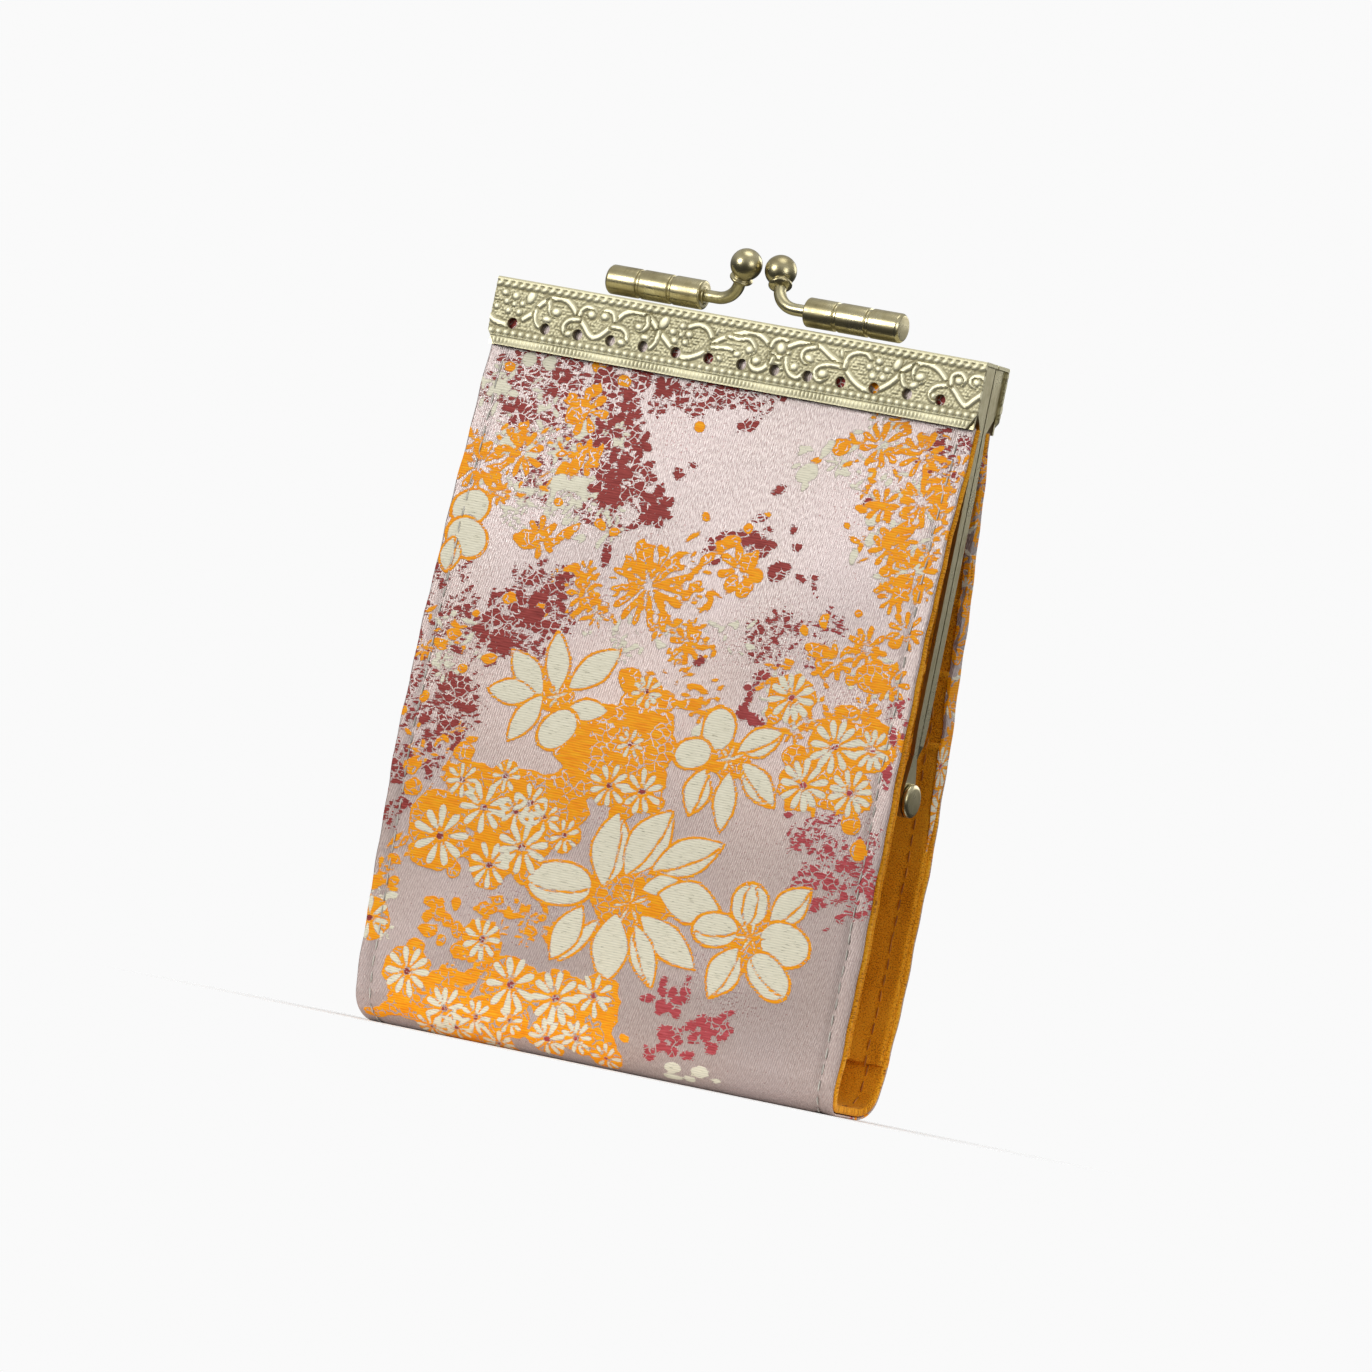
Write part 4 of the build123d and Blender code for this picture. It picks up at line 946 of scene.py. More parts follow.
def bare_speckle(x, v):
    """How thickly loose floss ends and flecks are scattered over the plain satin."""
    pv = np.where(v < fold_place, v + pattern_repeat, v)
    areas = [(-20, 75, 12, 6, 1), (19, 75, 9, 7, 1), (-38, 58, 8, 22, .8), (25, 15, 9, 3.5, .7),
             (16, 20, 4, 4, .7), (-18, 24, 12, 5, .7), (35, 68, 10, 5, .8), (-32, 101, 16, 16, .9),
             (34, 104, 12, 14, .8), (-8, 107, 9, 9, .5), (12, 72, 9, 4, .6), (-10, 90, 10, 8, .4),
             (-5, 45, 12, 10, .6), (30, 40, 12, 9, .35), (-20, 8, 20, 9, .5), (40, 47, 6, 9, .7)]
    speckle = np.zeros(x.shape)
    for cx, cv, wide, high, amount in areas:
        speckle = np.maximum(speckle, amount * np.clip(
            1.3 - np.hypot((x - cx) / wide, (pv - cv) / high), 0, 1))
    return speckle


brocade, tree, shader = new_finish("silk_brocade")
cloth = mark_of(tree, "cloth_mm", "Vector")
figure = add(tree, "ShaderNodeSeparateXYZ", {
    "Vector": mark_of(tree, "figure", "Vector")}).outputs
speckle = mark_of(tree, "speckle")
axes = add(tree, "ShaderNodeSeparateXYZ", {"Vector": cloth}).outputs
# the floats of floss run across, so every edge is stepped into short level dashes
dashes = cloudy(tree, scaled(tree, cloth, (0.75, 3.1, 1)), 2, 0.55)
step_noise = cloudy(tree, scaled(tree, cloth, (2.2, 6.5, 1)), 1, 0.5)
jag = sums(tree, "MULTIPLY_ADD", sums(tree, "SUBTRACT", dashes, 0.5), 1.25,
           sums(tree, "MULTIPLY", sums(tree, "SUBTRACT", step_noise, 0.5), 0.5))
petal_jag = sums(tree, "MULTIPLY", jag, 0.42)
# small petals lie side by side in every patch, with a slit of the ground between them
bent = add(tree, "ShaderNodeVectorMath", {0: scaled(tree, cloth, (0.62, 0.78, 1)), 1: add(
    tree, "ShaderNodeTexNoise", {"Vector": cloth, "Scale": 0.55, "Detail": 1.0}).outputs["Color"]},
    operation="ADD").outputs["Vector"]
slits = add(tree, "ShaderNodeTexVoronoi", {"Vector": bent, "Scale": 1.0},
            feature="DISTANCE_TO_EDGE").outputs["Distance"]
open_slit = sums(tree, "MULTIPLY", between(tree, slits, 0.02, 0.10, 1.0, 0.0),
                 between(tree, cloudy(tree, scaled(tree, cloth, (0.21, 0.25, 1)), 1), 0.38, 0.56))
deep_slit = sums(tree, "MULTIPLY", open_slit, between(tree, figure["X"], 0.24, 0.42))
orange_level = sums(tree, "MULTIPLY_ADD", deep_slit, -1.6, sums(tree, "MINIMUM", figure["X"], 0.9))
burgundy_level = sums(tree, "MULTIPLY_ADD", open_slit, -0.85, sums(
    tree, "MINIMUM", figure["Z"], 0.6))
orange_here = between(tree, sums(tree, "ADD", orange_level, petal_jag), -0.07, 0.07)
ivory_here = between(tree, sums(tree, "ADD", figure["Y"], petal_jag), -0.07, 0.07)
burgundy_here = between(tree, sums(tree, "ADD", burgundy_level, jag), -0.07, 0.07)
# plain satin: long slanting floats that catch the light unevenly
slant = scaled(tree, cloth, (5.6, 1.25, 1), (0, 0, math.radians(24)))
floats = cloudy(tree, slant, 3, 0.6)
cast = cloudy(tree, scaled(tree, cloth, (0.05, 0.035, 1)), 2, 0.5)
satin = tones(tree, floats, [(0.32, (0.30, 0.225, 0.21)), (0.5, (0.515, 0.43, 0.405)),
                             (0.68, (0.71, 0.635, 0.61))])
# painted shade: the satin is pulled 42% of the way towards a flat rosy mauve from 92 mm down to 52 mm
# on the cloth, and fully below that, round the fold and up the back, where the bowed panel faces
# downwards away from the lights
lower_cloth_painted_shade = between(tree, axes["Y"], 52.0, 92.0, 1.0, 0.0)
satin = mixed(tree, sums(tree, "MULTIPLY", lower_cloth_painted_shade, 0.42), satin, (0.60, 0.44, 0.375))
satin = mixed(tree, between(tree, cast, 0.35, 0.7, 0.0, 0.3), satin, (0.60, 0.50, 0.50))
flecks = cloudy(tree, scaled(tree, cloth, (2.3, 2.6, 1)), 2, 0.7)
dark_fleck = between(tree, sums(tree, "ADD", flecks, sums(tree, "MULTIPLY", speckle, 0.12)),
                     0.66, 0.70)
pale_fleck = between(tree, sums(tree, "SUBTRACT", flecks, sums(tree, "MULTIPLY", speckle, 0.09)),
                     0.33, 0.29)
satin = mixed(tree, sums(tree, "MULTIPLY", dark_fleck, 0.75), satin, (0.30, 0.12, 0.11))
satin = mixed(tree, sums(tree, "MULTIPLY", pale_fleck, 0.6), satin, (0.80, 0.77, 0.68))
# the figure colours, each with its own floss
lay = cloudy(tree, scaled(tree, cloth, (0.35, 3.4, 1)), 3, 0.6)
orange = tones(tree, lay, [(0.3, (0.90, 0.25, 0.0)), (0.5, (1.0, 0.36, 0.0)),
                           (0.72, (1.0, 0.49, 0.008))])
stray = cloudy(tree, scaled(tree, cloth, (0.55, 7.5, 1)), 2, 0.6)
ivory = tones(tree, stray, [(0.31, (0.24, 0.22, 0.14)), (0.37, (0.78, 0.735, 0.565)),
                            (0.75, (0.93, 0.885, 0.71))])
rosy = between(tree, sums(tree, "MULTIPLY_ADD", axes["Y"], -0.7, axes["X"]), -46.0, 6.0)
wine = tones(tree, lay, [(0.3, (0.22, 0.026, 0.022)), (0.7, (0.42, 0.065, 0.055))])
rose = tones(tree, lay, [(0.3, (0.36, 0.035, 0.04)), (0.7, (0.60, 0.10, 0.115))])
burgundy = mixed(tree, rosy, wine, rose)
colour = mixed(tree, burgundy_here, satin, burgundy)
colour = mixed(tree, orange_here, colour, orange)
colour = mixed(tree, ivory_here, colour, ivory)
figured = sums(tree, "MAXIMUM", burgundy_here, sums(tree, "MAXIMUM", orange_here, ivory_here))
# the weave: level threads in the figures, a fine slanting twill on the satin
thread_pitch, twill_rise, twill_run = 0.42, 0.62, 0.34
wobble = sums(tree, "MULTIPLY", sums(tree, "SUBTRACT", dashes, 0.5), 1.6)
threads = sums(tree, "SINE", sums(tree, "MULTIPLY_ADD", axes["Y"], 2 * math.pi / thread_pitch, wobble))
twill = sums(tree, "SINE", sums(tree, "MULTIPLY_ADD", axes["Y"], 2 * math.pi / twill_rise, sums(
    tree, "MULTIPLY_ADD", axes["X"], 2 * math.pi / twill_run, wobble)))
grain = mixed(tree, figured, twill, threads)
shade = between(tree, grain, -1.0, 1.0, 0.76, 1.12, soft=False)
weave_depth = between(tree, figured, 0.0, 1.0, 1.0, 0.4)
colour = mixed(tree, weave_depth, colour, add(tree, "ShaderNodeCombineColor", {
    "Red": shade, "Green": shade, "Blue": shade}).outputs["Color"], "MULTIPLY")
weave_height = sums(tree, "MULTIPLY_ADD", grain, 0.16, sums(tree, "MULTIPLY", floats, 0.5))
raised = sums(tree, "MULTIPLY_ADD", figured, 1.1, weave_height)
feed(tree, shader, {
    "Base Color": colour, "Roughness": between(tree, figured, 0.0, 1.0, 0.38, 0.62),
    "Metallic": between(tree, figured, 0.0, 1.0, 0.38, 0.0), "Specular IOR Level": 0.25,
    "Normal": bumpy(tree, raised, 0.5, 0.00012)})


def cloth_place(x, v, layer=0.0):
    """The place on the cloth, in mm, that the finish reads. Each layer has its own."""
    return np.stack([x, v, np.full_like(x, layer)], -1)


def strip_columns(step):
    """Places across the strip, closer together where the edge is rolled in."""
    inner = cloth_half_width - 0.7
    middle = np.linspace(-inner, inner, int(2 * inner / step) + 1)
    edge = cloth_half_width - np.array([0.42, 0.25, 0.12, 0.04, 0.0])
    return np.concatenate([-edge[::-1], middle, edge])


def rolled(x, half_thick, reach):
    """How far each face draws in at the strip's edge, so that the edge is round."""
    t = np.clip((np.abs(x) - cloth_half_width + reach) / reach, 0, 1)
    return half_thick * (1 - np.sqrt(np.clip(1 - t * t, 0, 1)))


def seam_dent(x):
    return 0.2 * np.exp(-((np.abs(x) - seam_x) / 0.75) ** 2)


back_split = fold_place - along_at_height(fold_split, 1)
back_top = fold_place - along_at_height(cloth_top, 1)
front_top = fold_place + along_at_height(cloth_top, -1)
reaches = {
    "front": (fold_split, front_top), "fold": (back_split, fold_split),
    "back": (back_top, back_split),
}


def hang(piece, part):
    """Fixes a length of cloth to its panel; the fold's piece is left unattached, with its placing
    applied to its points.
    """
    if part == "fold":
        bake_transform(piece)
    else:
        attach(piece, f"{part}_panel")


for part, (low, high) in reaches.items():
    across = strip_columns(cloth_step)
    up = np.linspace(low, high, int((high - low) / cloth_step) + 1)
    x, v = np.meshgrid(across, up)
    draw = rolled(x, brocade_thick / 2, 0.45)
    figures = woven_figure(x, v)
    raised_floss = 0.05 * np.clip(figures.max(-1) / 0.5, 0, 1)
    outside = cloth_points(x, v, draw + seam_dent(x) - raised_floss)
    inside = cloth_points(x, v, brocade_thick - draw + 0.5 * seam_dent(x))
    marks = {"cloth_mm": cloth_place(x, v), "figure": figures, "speckle": bare_speckle(x, v)}
    piece = closed_sheet(f"brocade_{part}", outside, inside, brocade, None, marks)
    hang(piece, part)
    if part != "fold":
        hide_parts(f"{part}_brocade")


# ---- Stiffening boards ---------------------------------------------------------------------
# Buckram boards between the brocade and the lining, one to a panel. They stop short of the
# side seams and of the fold, so that the cloth can bend there.

board_inset = 2.9
board_faces = (0.55, 1.25)
board_heights = (14.0, 112.0)
buckram, tree, shader = new_finish("buckram_board")
place = on_object(tree)
mesh_weave = cloudy(tree, scaled(tree, place, (1600, 1600, 1600)), 2, 0.6)
feed(tree, shader, {"Roughness": 0.9, "Base Color": tones(
    tree, mesh_weave, [(0.3, (0.55, 0.50, 0.40)), (0.7, (0.80, 0.76, 0.66))])})
for part, side in (("front", -1), ("back", 1)):
    ends = sorted(fold_place - side * along_at_height(z, side) for z in board_heights)
    x, v = np.meshgrid(np.linspace(board_inset - cloth_half_width,
                                   cloth_half_width - board_inset, 24), np.linspace(*ends, 40))
    board = closed_sheet(f"{part}_board", cloth_points(x, v, board_faces[0]),
                         cloth_points(x, v, board_faces[1]), buckram)
    hang(board, part)
    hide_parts(f"{part}_stiffener")


# ---- Velvet lining --------------------------------------------------------------------------
# A strip of orange cotton velvet with a short pile, laid face inwards over the boards. It is a
# little wider than the brocade, so its furry edge shows all along both sides.

lining_faces = (1.3, 1.9)
velvet, tree, shader = new_finish("orange_velvet")
cloth = mark_of(tree, "cloth_mm", "Vector")
rubs = cloudy(tree, scaled(tree, cloth, (0.16, 0.09, 0.2)), 4, 0.6)
pile = cloudy(tree, scaled(tree, cloth, (4.2, 4.2, 4.2)), 3, 0.7)
lay = sums(tree, "MULTIPLY_ADD", pile, 1.0, sums(tree, "MULTIPLY_ADD", rubs, 0.3, -0.14))
colour = tones(tree, lay, [(0.36, (0.34, 0.10, 0.001)), (0.5, (0.92, 0.34, 0.004)),
                           (0.62, (1.0, 0.50, 0.03))])
feed(tree, shader, {
    "Base Color": colour, "Roughness": 0.85, "Specular IOR Level": 0.2, "Sheen Weight": 0.45,
    "Sheen Roughness": 0.35, "Sheen Tint": (1.0, 0.62, 0.22, 1.0),
    "Normal": bumpy(tree, pile, 0.7, 0.0002)})

for part, (low, high) in reaches.items():
    across = strip_columns(0.9)
    up = np.linspace(low, high, int((high - low) / 0.8) + 1)
    x, v = np.meshgrid(across, up)
    wide = x * (1 + 0.22 / cloth_half_width)
    edge = np.clip((np.abs(x) - 44.5) / 0.5, 0, 1)
    roll = rolled(x, 0.5, 0.42)
    tuft = 0.06 * value_noise(x, v, 0.5, 0.5, 77) * edge
    outside = cloth_points(wide + tuft * np.sign(x), v, lining_faces[0] - 0.68 * edge + roll)
    inside = cloth_points(wide + tuft * np.sign(x), v,
                          lining_faces[1] + 0.05 - roll - seam_dent(x) * 0.8
                          + 0.05 * value_noise(x, v, 1.4, 1.4, 8))
    piece = closed_sheet(f"velvet_{part}", outside, inside, velvet, None,
                         {"cloth_mm": cloth_place(x, v)}, 60)
    hang(piece, part)
    if part != "fold":
        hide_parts(f"{part}_lining")


# The brocade's own side edges are turned in over the velvet and the pockets' ends as narrow
# hems on the back panel, and are pressed flat by the seam.
pocket_thick = 0.5
pocket_bottom = 9.5
pocket_tops = (88.0, 76.0, 64.0)
hem_width, hem_thick, hem_reach = 1.5, 0.22, 0.3
hem_low, hem_high, hem_taper = 46.0, 112.0, 48.0
hem_figure_x = 86.6
hem_wrap, hem_wrap_rise = 1.2, 16                # how far it laps round the edge, and its start
for hand, hem_side in (("left", -1), ("right", 1)):
    outer_edge = cloth_half_width + hem_reach
    from_edge = hem_width * np.linspace(1, 0, 22)[::hem_side] ** 2
    up = np.linspace(fold_place - along_at_height(hem_high, 1),
                     fold_place - along_at_height(hem_low, 1), 320)
    inward, v = np.meshgrid(from_edge, up)
    level = section(fold_place - v, 1)[1]
    taper = np.clip((level - hem_low) / hem_taper, 0.02, 1) ** 0.7
    x = hem_side * (outer_edge - inward * taper)
    rim = np.clip((np.abs(x) - outer_edge + 0.4) / 0.4, 0, 1) ** 2
    under = sum(pocket_thick * np.clip(0.5 + (top - level) / 1.6, 0, 1) for top in pocket_tops)
    puckers = 0.05 * np.sin(v / 0.9 + 2 * np.sin(v / 5.3))
    wrap = (hem_wrap + under) * rim * np.clip((level - hem_low) / hem_wrap_rise, 0, 1)
    outside = cloth_points(x, v, lining_faces[1] + 0.02 + under - wrap)
    inside = cloth_points(x, v, lining_faces[1] + 0.06 + hem_thick + under + puckers - wrap)
    # a hem shows the figure's outer parts again, the other way round: its own is not known
    marks = {"cloth_mm": cloth_place(x + hem_side * wrap, level),
             "figure": woven_figure(hem_side * (hem_figure_x - np.abs(x) - wrap), level),
             "speckle": bare_speckle(x, level)}
    piece = closed_sheet(f"brocade_hem_{hand}", outside, inside, brocade, None, marks, 60)
    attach(piece, "back_panel")


# ---- Card pockets ---------------------------------------------------------------------------
# Three velvet pockets on each panel, one over another and each shorter than the last. Their
# top edges are turned over and stitched, and the side seams hold their ends.

for part, side in (("front", -1), ("back", 1)):
    for index, top in enumerate(pocket_tops):
        across = strip_columns(1.0)
        height = np.concatenate([[0, 0.12, 0.35], np.arange(0.8, top - pocket_bottom - 3, 1.2),
                                 top - pocket_bottom - np.array(
                                     [2.6, 2.2, 1.9, 1.6, 1.2, 0.8, 0.45, 0.2, 0.06, 0])])
        x, rise_up = np.meshgrid(across, height)
        sag = 0.5 * (1 - (x / cloth_half_width) ** 2) * (rise_up / height[-1]) ** 4
        level = pocket_bottom + rise_up - sag
        v = fold_place - side * along_at_height(level, side, 1401)
        from_top = height[-1] - rise_up
        hem = 0.22 * np.exp(-((from_top - 0.9) / 0.7) ** 2) - 0.12 * np.exp(
            -((from_top - 2.1) / 0.3) ** 2)
        lip = np.clip(1 - from_top / 0.3, 0, 1) ** 2 * 0.22
        roll = rolled(x, 0.24, 0.4) + lip
        foot = np.clip(1 - rise_up / 0.3, 0, 1) ** 2 * 0.2
        depth = lining_faces[1] + 0.08 + index * pocket_thick
        outside = cloth_points(x * 0.997, v, depth + roll * 0.6)
        inside = cloth_points(x * 0.997, v, depth + pocket_thick - 0.06 + hem - roll - foot
                              - seam_dent(x) + 0.04 * value_noise(x, v, 1.6, 1.6, 9 + index))
        if side > 0:
            outside, inside = outside[::-1], inside[::-1]
            x, v = x[::-1], v[::-1]
        pocket = closed_sheet(f"{part}_velvet_pocket_{index + 1}", outside, inside, velvet, None,
                              {"cloth_mm": cloth_place(x, v, 3.0 + index)}, 60)
        hang(pocket, part)
        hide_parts(f"{part}_card_pocket_{index + 1}")


# ---- Clamped edges and packing cords ---------------------------------------------------------
# The strip's two ends run up into the rails, where they are glued and wedged tight with twisted
# paper cord. The cloth shows through the sewing holes.

clamp_low, clamp_high = 115.5, 123.0
clamp_half_width = 44.6
clamp_faces = {"front": (-6.45, -4.55), "back": (0.45, -1.45)}
cord_middles = {"front": (-5.2, 124.3), "back": (-0.8, 124.3)}
paper, tree, shader = new_finish("twisted_paper")
place = on_object(tree)
fibres = cloudy(tree, scaled(tree, place, (1500, 3000, 3000)), 3, 0.6)
feed(tree, shader, {"Roughness": 0.9, "Base Color": tones(
    tree, fibres, [(0.3, (0.42, 0.33, 0.22)), (0.7, (0.72, 0.63, 0.48))])})
for half, (outer_y, inner_y) in clamp_faces.items():
    x, z = np.meshgrid(np.arange(-clamp_half_width, clamp_half_width + 0.1, 0.5),
                       np.linspace(clamp_low, clamp_high, 16))
    pucker = 0.05 * value_noise(x, z, 2.5, 2.5, 3)
    hand = 1 if half == "front" else -1
    outside = np.stack([hand * x, outer_y + hand * (0.07 + pucker), z], -1)
    inside = np.stack([hand * x, inner_y - hand * 0.05 + 0 * z, z], -1)
    marks = {"cloth_mm": cloth_place(x, z), "figure": woven_figure(x, z),
             "speckle": bare_speckle(x, z)}
    edge = closed_sheet(f"{half}_gripped_cloth", outside, inside, brocade, None, marks)
    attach(edge, f"{half}_frame")
    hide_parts(f"{half}_clamped_edge")

    cord_y, cord_z = cord_middles[half]
    x, angle = np.meshgrid(np.linspace(-clamp_half_width, clamp_half_width, 260),
                           np.linspace(0, 2 * math.pi, 17)[:-1], indexing="ij")
    radius = 0.78 + 0.2 * np.abs(np.cos(angle - x * 1.5))
    points = np.stack([x, cord_y + radius * np.cos(angle), cord_z + radius * np.sin(angle)], -1)
    rings, sides = points.shape[:2]
    faces = [(i * sides + j, i * sides + (j + 1) % sides, (i + 1) * sides + (j + 1) % sides,
              (i + 1) * sides + j) for i in range(rings - 1) for j in range(sides)]
    faces += [tuple(range(sides))[::-1], tuple((rings - 1) * sides + j for j in range(sides))]
    cord = make_piece(f"{half}_paper_cord", points.reshape(-1, 3),
                      [face[::-1] for face in faces], paper, 60)
    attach(cord, f"{half}_frame")
    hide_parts(f"{half}_packing_cord")


# ---- Seam stitches ----------------------------------------------------------------------------
# A lockstitch seam down each side, through every layer, a few millimetres in from the edge:
# grey thread on the brocade and brown thread inside.

stitch_pitch = 2.7
stitch_length = 2.0
thread_radius = 0.16
seam_below_rail, seam_short = 4, 0.9


def thread_finish(name, dark, light):
    material, tree, shader = new_finish(name)
    place = on_object(tree)
    twist = add(tree, "ShaderNodeTexWave", {"Vector": scaled(tree, place, (900, 900, 2400)),
                                            "Scale": 1.0, "Distortion": 1.5})
    feed(tree, shader, {"Roughness": 0.6, "Base Color": tones(
        tree, twist.outputs["Fac"], [(0.2, dark), (0.8, light)])})
    return material


def sewn_seam(name, lines, finish, pitch, seed):
    """Geometry Nodes lay one stitch after another along each line of points."""
    verts, edges = [], []
    for line in lines:
        edges += [(len(verts) + i, len(verts) + i + 1) for i in range(len(line) - 1)]
        verts += (np.asarray(line) * mm).tolist()
    mesh = bpy.data.meshes.new(name + "_line")
    mesh.from_pydata(verts, edges, [])
    seam = put(name + "_line", mesh)
    group = bpy.data.node_groups.new(name + "_stitcher", "GeometryNodeTree")
    sockets = {}
    for label, kind, value in (
            ("Seam lines", "NodeSocketGeometry", None), ("Pitch", "NodeSocketFloat", pitch * mm),
            ("Stitch length", "NodeSocketFloat", stitch_length * mm),
            ("Thread radius", "NodeSocketFloat", thread_radius * mm),
            ("Unevenness", "NodeSocketFloat", 0.09), ("Seed", "NodeSocketInt", seed),
            ("Thread", "NodeSocketMaterial", finish)):
        sockets[label] = (group.interface.new_socket(label, in_out="INPUT", socket_type=kind), value)
    group.interface.new_socket("Stitches", in_out="OUTPUT", socket_type="NodeSocketGeometry")
    given = add(group, "NodeGroupInput").outputs
    curve = add(group, "GeometryNodeMeshToCurve", {"Mesh": given["Seam lines"]})
    stops = add(group, "GeometryNodeCurveToPoints", {
        "Curve": curve.outputs["Curve"], "Length": given["Pitch"]}, mode="LENGTH")
    ball = add(group, "GeometryNodeMeshUVSphere", {"Segments": 8, "Rings": 6, "Radius": 1.0})
    half_length = add(group, "ShaderNodeMath", {0: given["Stitch length"], 1: 0.5},
                      operation="MULTIPLY")
    size = add(group, "ShaderNodeCombineXYZ", {
        "X": given["Thread radius"], "Y": given["Thread radius"], "Z": half_length.outputs[0]})
    stitch = add(group, "GeometryNodeTransform", {
        "Geometry": ball.outputs["Mesh"], "Scale": size.outputs["Vector"]})
    less = add(group, "ShaderNodeMath", {0: 0.0, 1: given["Unevenness"]}, operation="SUBTRACT")
    low = add(group, "ShaderNodeCombineXYZ", {"X": less.outputs[0], "Y": less.outputs[0]})
    high = add(group, "ShaderNodeCombineXYZ", {"X": given["Unevenness"], "Y": given["Unevenness"]})
    lean = add(group, "FunctionNodeRandomValue", {
        0: low.outputs["Vector"], 1: high.outputs["Vector"], "Seed": given["Seed"]},
        data_type="FLOAT_VECTOR")
    leaning = add(group, "FunctionNodeEulerToRotation", {"Euler": lean.outputs["Value"]})
    turned_by = add(group, "FunctionNodeRotateRotation", {
        "Rotation": stops.outputs["Rotation"], "Rotate By": leaning.outputs["Rotation"]},
        rotation_space="LOCAL")
    laid = add(group, "GeometryNodeInstanceOnPoints", {
        "Points": stops.outputs["Points"], "Instance": stitch.outputs["Geometry"],
        "Rotation": turned_by.outputs["Rotation"]})
    real = add(group, "GeometryNodeRealizeInstances", {"Geometry": laid.outputs["Instances"]})
    smooth = add(group, "GeometryNodeSetShadeSmooth", {"Geometry": real.outputs["Geometry"]})
    coloured = add(group, "GeometryNodeSetMaterial", {
        "Geometry": smooth.outputs["Geometry"], "Material": given["Thread"]})
    out = group.nodes.new("NodeGroupOutput")
    group.links.new(coloured.outputs["Geometry"], out.inputs["Stitches"])
    modifier = seam.modifiers.new("stitches", "NODES")
    modifier.node_group = group
    for socket, value in sockets.values():
        if value is not None:
            modifier[socket.identifier] = value
    made = bpy.data.meshes.new_from_object(
        seam.evaluated_get(bpy.context.evaluated_depsgraph_get()))
    bpy.data.objects.remove(seam)
    return put(name, made)


pale_thread = thread_finish("grey_thread", (0.36, 0.34, 0.30), (0.66, 0.63, 0.56))
brown_thread = thread_finish("brown_thread", (0.30, 0.09, 0.004), (0.58, 0.22, 0.015))
for part, (low, high) in reaches.items():
    # a seam stops below the rail, and just short of where the cloth's pieces meet
    v = np.linspace(low + (seam_below_rail if part == "back" else seam_short),
                    high - (seam_below_rail if part == "front" else seam_short), 240)
    pockets = np.zeros(v.size)
    level = cloth_points(0 * v, v, 0.0)[:, 2]
    for top in pocket_tops:
        pockets += pocket_thick * ((level < top) & (level > pocket_bottom))
    for face, finish, seed in (("outer", pale_thread, 3), ("inner", brown_thread, 4)):
        depth = 0.08 if face == "outer" else lining_faces[1] + pockets
        lines = [cloth_points(0 * v + hand * seam_x, v, depth) for hand in (-1, 1)]
        seam = sewn_seam(f"{face}_seam_{part}", lines, finish, stitch_pitch, seed)
        hang(seam, part)


# ---- Studio -------------------------------------------------------------------------------------
# A white sheet that fades out round the purse, under large soft lights, the strongest of them
# from the left. The long lens is almost level with the sheet and rolled, so the purse leans.

camera_turn = math.radians(26.4)
camera_rise = math.radians(-1.26)
camera_roll = math.radians(11.5)
camera_distance = 2.2157
aim = Vector((-0.000145, 0.0, 0.065033))
towards = Vector((math.sin(camera_turn) * math.cos(camera_rise),
                  -math.cos(camera_turn) * math.cos(camera_rise), math.sin(camera_rise)))
right = (-towards).cross(Vector((0, 0, 1))).normalized()
upright = right.cross(-towards).normalized()
camera_x = right * math.cos(camera_roll) + upright * math.sin(camera_roll)
camera_y = upright * math.cos(camera_roll) - right * math.sin(camera_roll)
lens = bpy.data.cameras.new("camera")
lens.lens = 349.55
lens.sensor_width = 36
lens.clip_end = 50
camera = put("camera", lens)
facing = Matrix((camera_x, camera_y, towards)).transposed()
camera.matrix_world = Matrix.Translation(aim + towards * camera_distance) @ facing.to_4x4()
bpy.context.scene.camera = camera

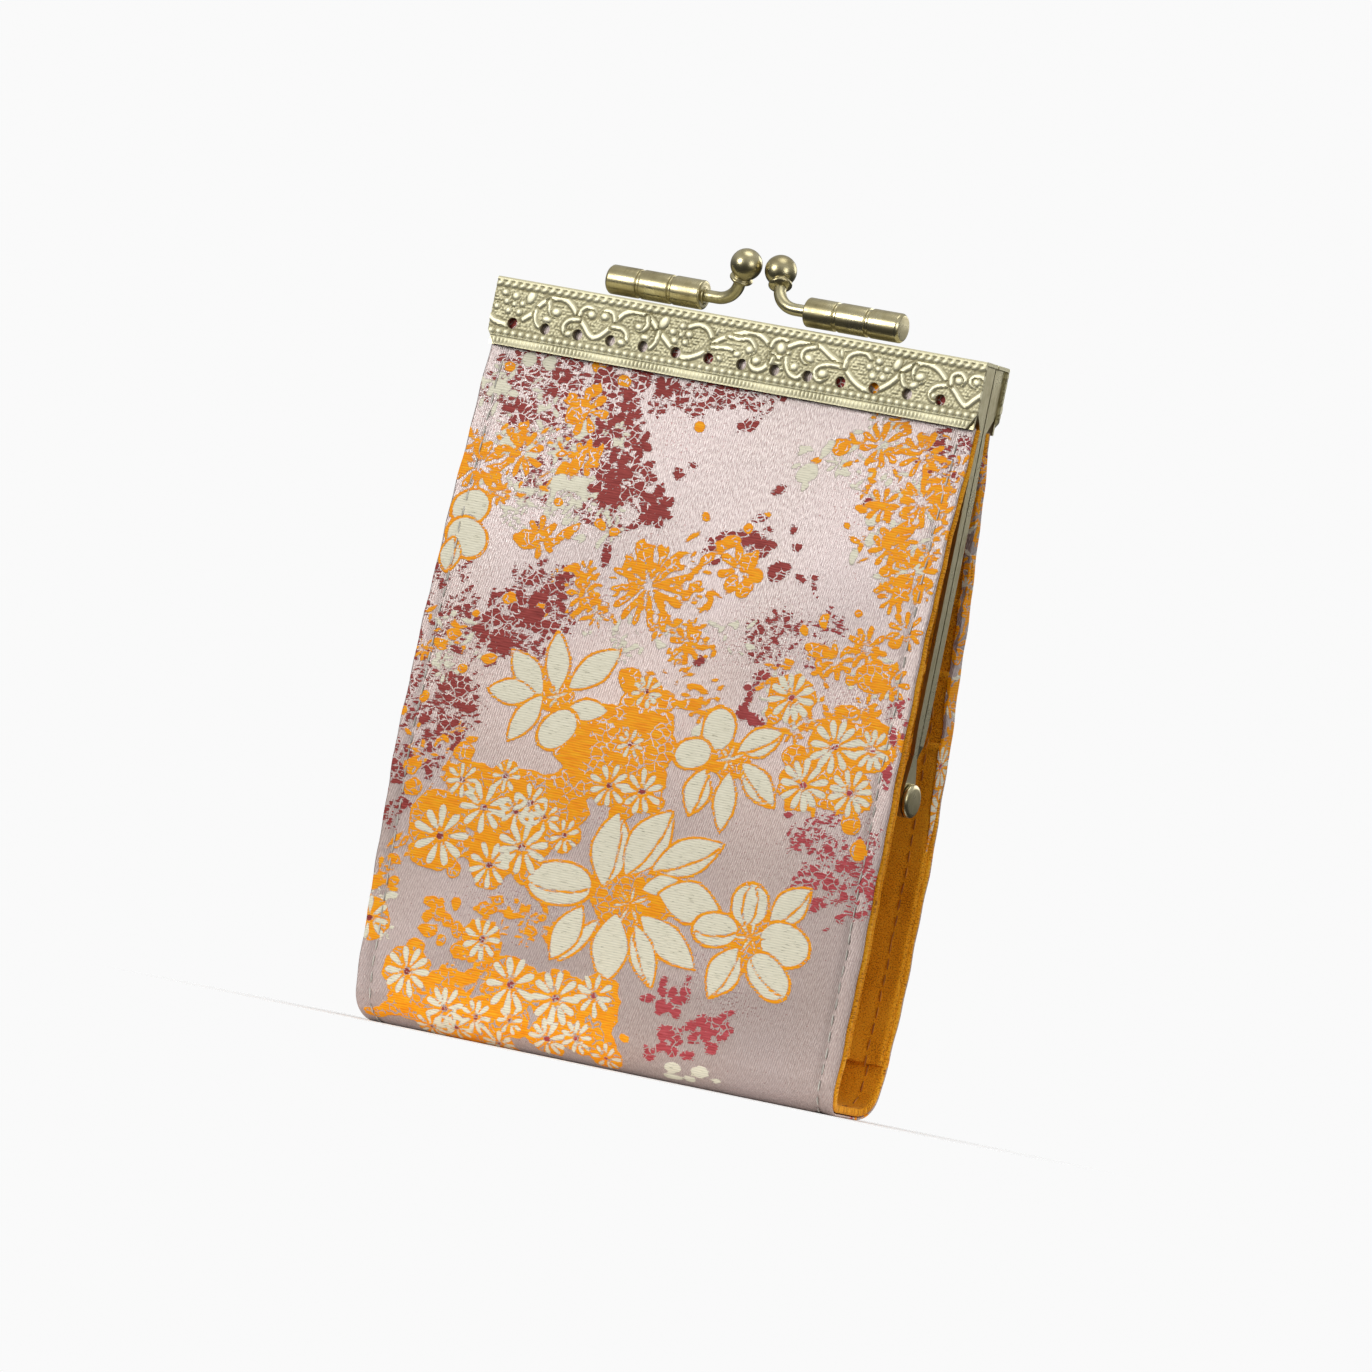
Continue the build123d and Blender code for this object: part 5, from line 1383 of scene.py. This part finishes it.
sweep_paper, tree, shader = new_finish("white_sweep")
place = on_object(tree)
spot = add(tree, "ShaderNodeSeparateXYZ", {"Vector": place}).outputs
past_end = sums(tree, "MAXIMUM", sums(tree, "SUBTRACT", sums(tree, "ABSOLUTE", spot["X"]), 0.045))
far = sums(tree, "SQRT", sums(tree, "MULTIPLY_ADD", past_end, past_end,
                              sums(tree, "MULTIPLY", spot["Y"], spot["Y"])))
feed(tree, shader, {
    "Base Color": (0.93, 0.93, 0.93, 1), "Roughness": 0.8, "Specular IOR Level": 0.1})
clear = add(tree, "ShaderNodeBsdfTransparent")
blended = add(tree, "ShaderNodeMixShader", {
    0: between(tree, far, 0.004, 0.05), 1: shader.outputs["BSDF"], 2: clear.outputs["BSDF"]})
tree.links.new(blended.outputs["Shader"], tree.nodes["Material Output"].inputs["Surface"])
mesh = bpy.data.meshes.new("sweep")
mesh.from_pydata([(-0.6, -0.6, 0), (0.6, -0.6, 0), (0.6, 0.6, 0), (-0.6, 0.6, 0)], [],
                 [(0, 1, 2, 3)])
mesh.materials.append(sweep_paper)
sweep = put("sweep", mesh)


def soft_light(name, spot, aim_at, size, power):
    light = bpy.data.lights.new(name, "AREA")
    light.shape = "DISK"
    light.size = size
    light.energy = power
    lamp = put(name, light)
    lamp.location = spot
    lamp.rotation_euler = (Vector(aim_at) - Vector(spot)).to_track_quat("-Z", "Y").to_euler()


soft_light("key", (-0.62, -1.2, 0.42), (0, 0, 0.07), 0.62, 9.9)
soft_light("top", (0.05, -0.1, 1.25), (0, 0, 0.06), 0.8, 3.6)
soft_light("fill", (1.3, -0.7, 0.35), (0, 0, 0.06), 0.8, 4.8)
soft_light("back", (0.5, 1.3, 0.6), (0, 0, 0.06), 0.8, 4.5)

world = bpy.data.worlds.new("room")
bpy.context.scene.world = world
world.use_nodes = True
tree = world.node_tree
path = add(tree, "ShaderNodeLightPath")
direction = add(tree, "ShaderNodeSeparateXYZ", {
    "Vector": add(tree, "ShaderNodeTexCoord").outputs["Generated"]})
room = between(tree, direction.outputs["Z"], -0.3, 0.75, 0.05, 0.62)
seen = add(tree, "ShaderNodeMix", {0: path.outputs["Is Camera Ray"], 2: room, 3: 0.955},
           data_type="FLOAT")
background = tree.nodes["Background"]
background.inputs["Color"].default_value = (1.0, 1.0, 1.0, 1)
tree.links.new(seen.outputs[0], background.inputs["Strength"])
bpy.context.scene.view_settings.view_transform = "Standard"
bpy.context.scene.view_settings.look = "None"
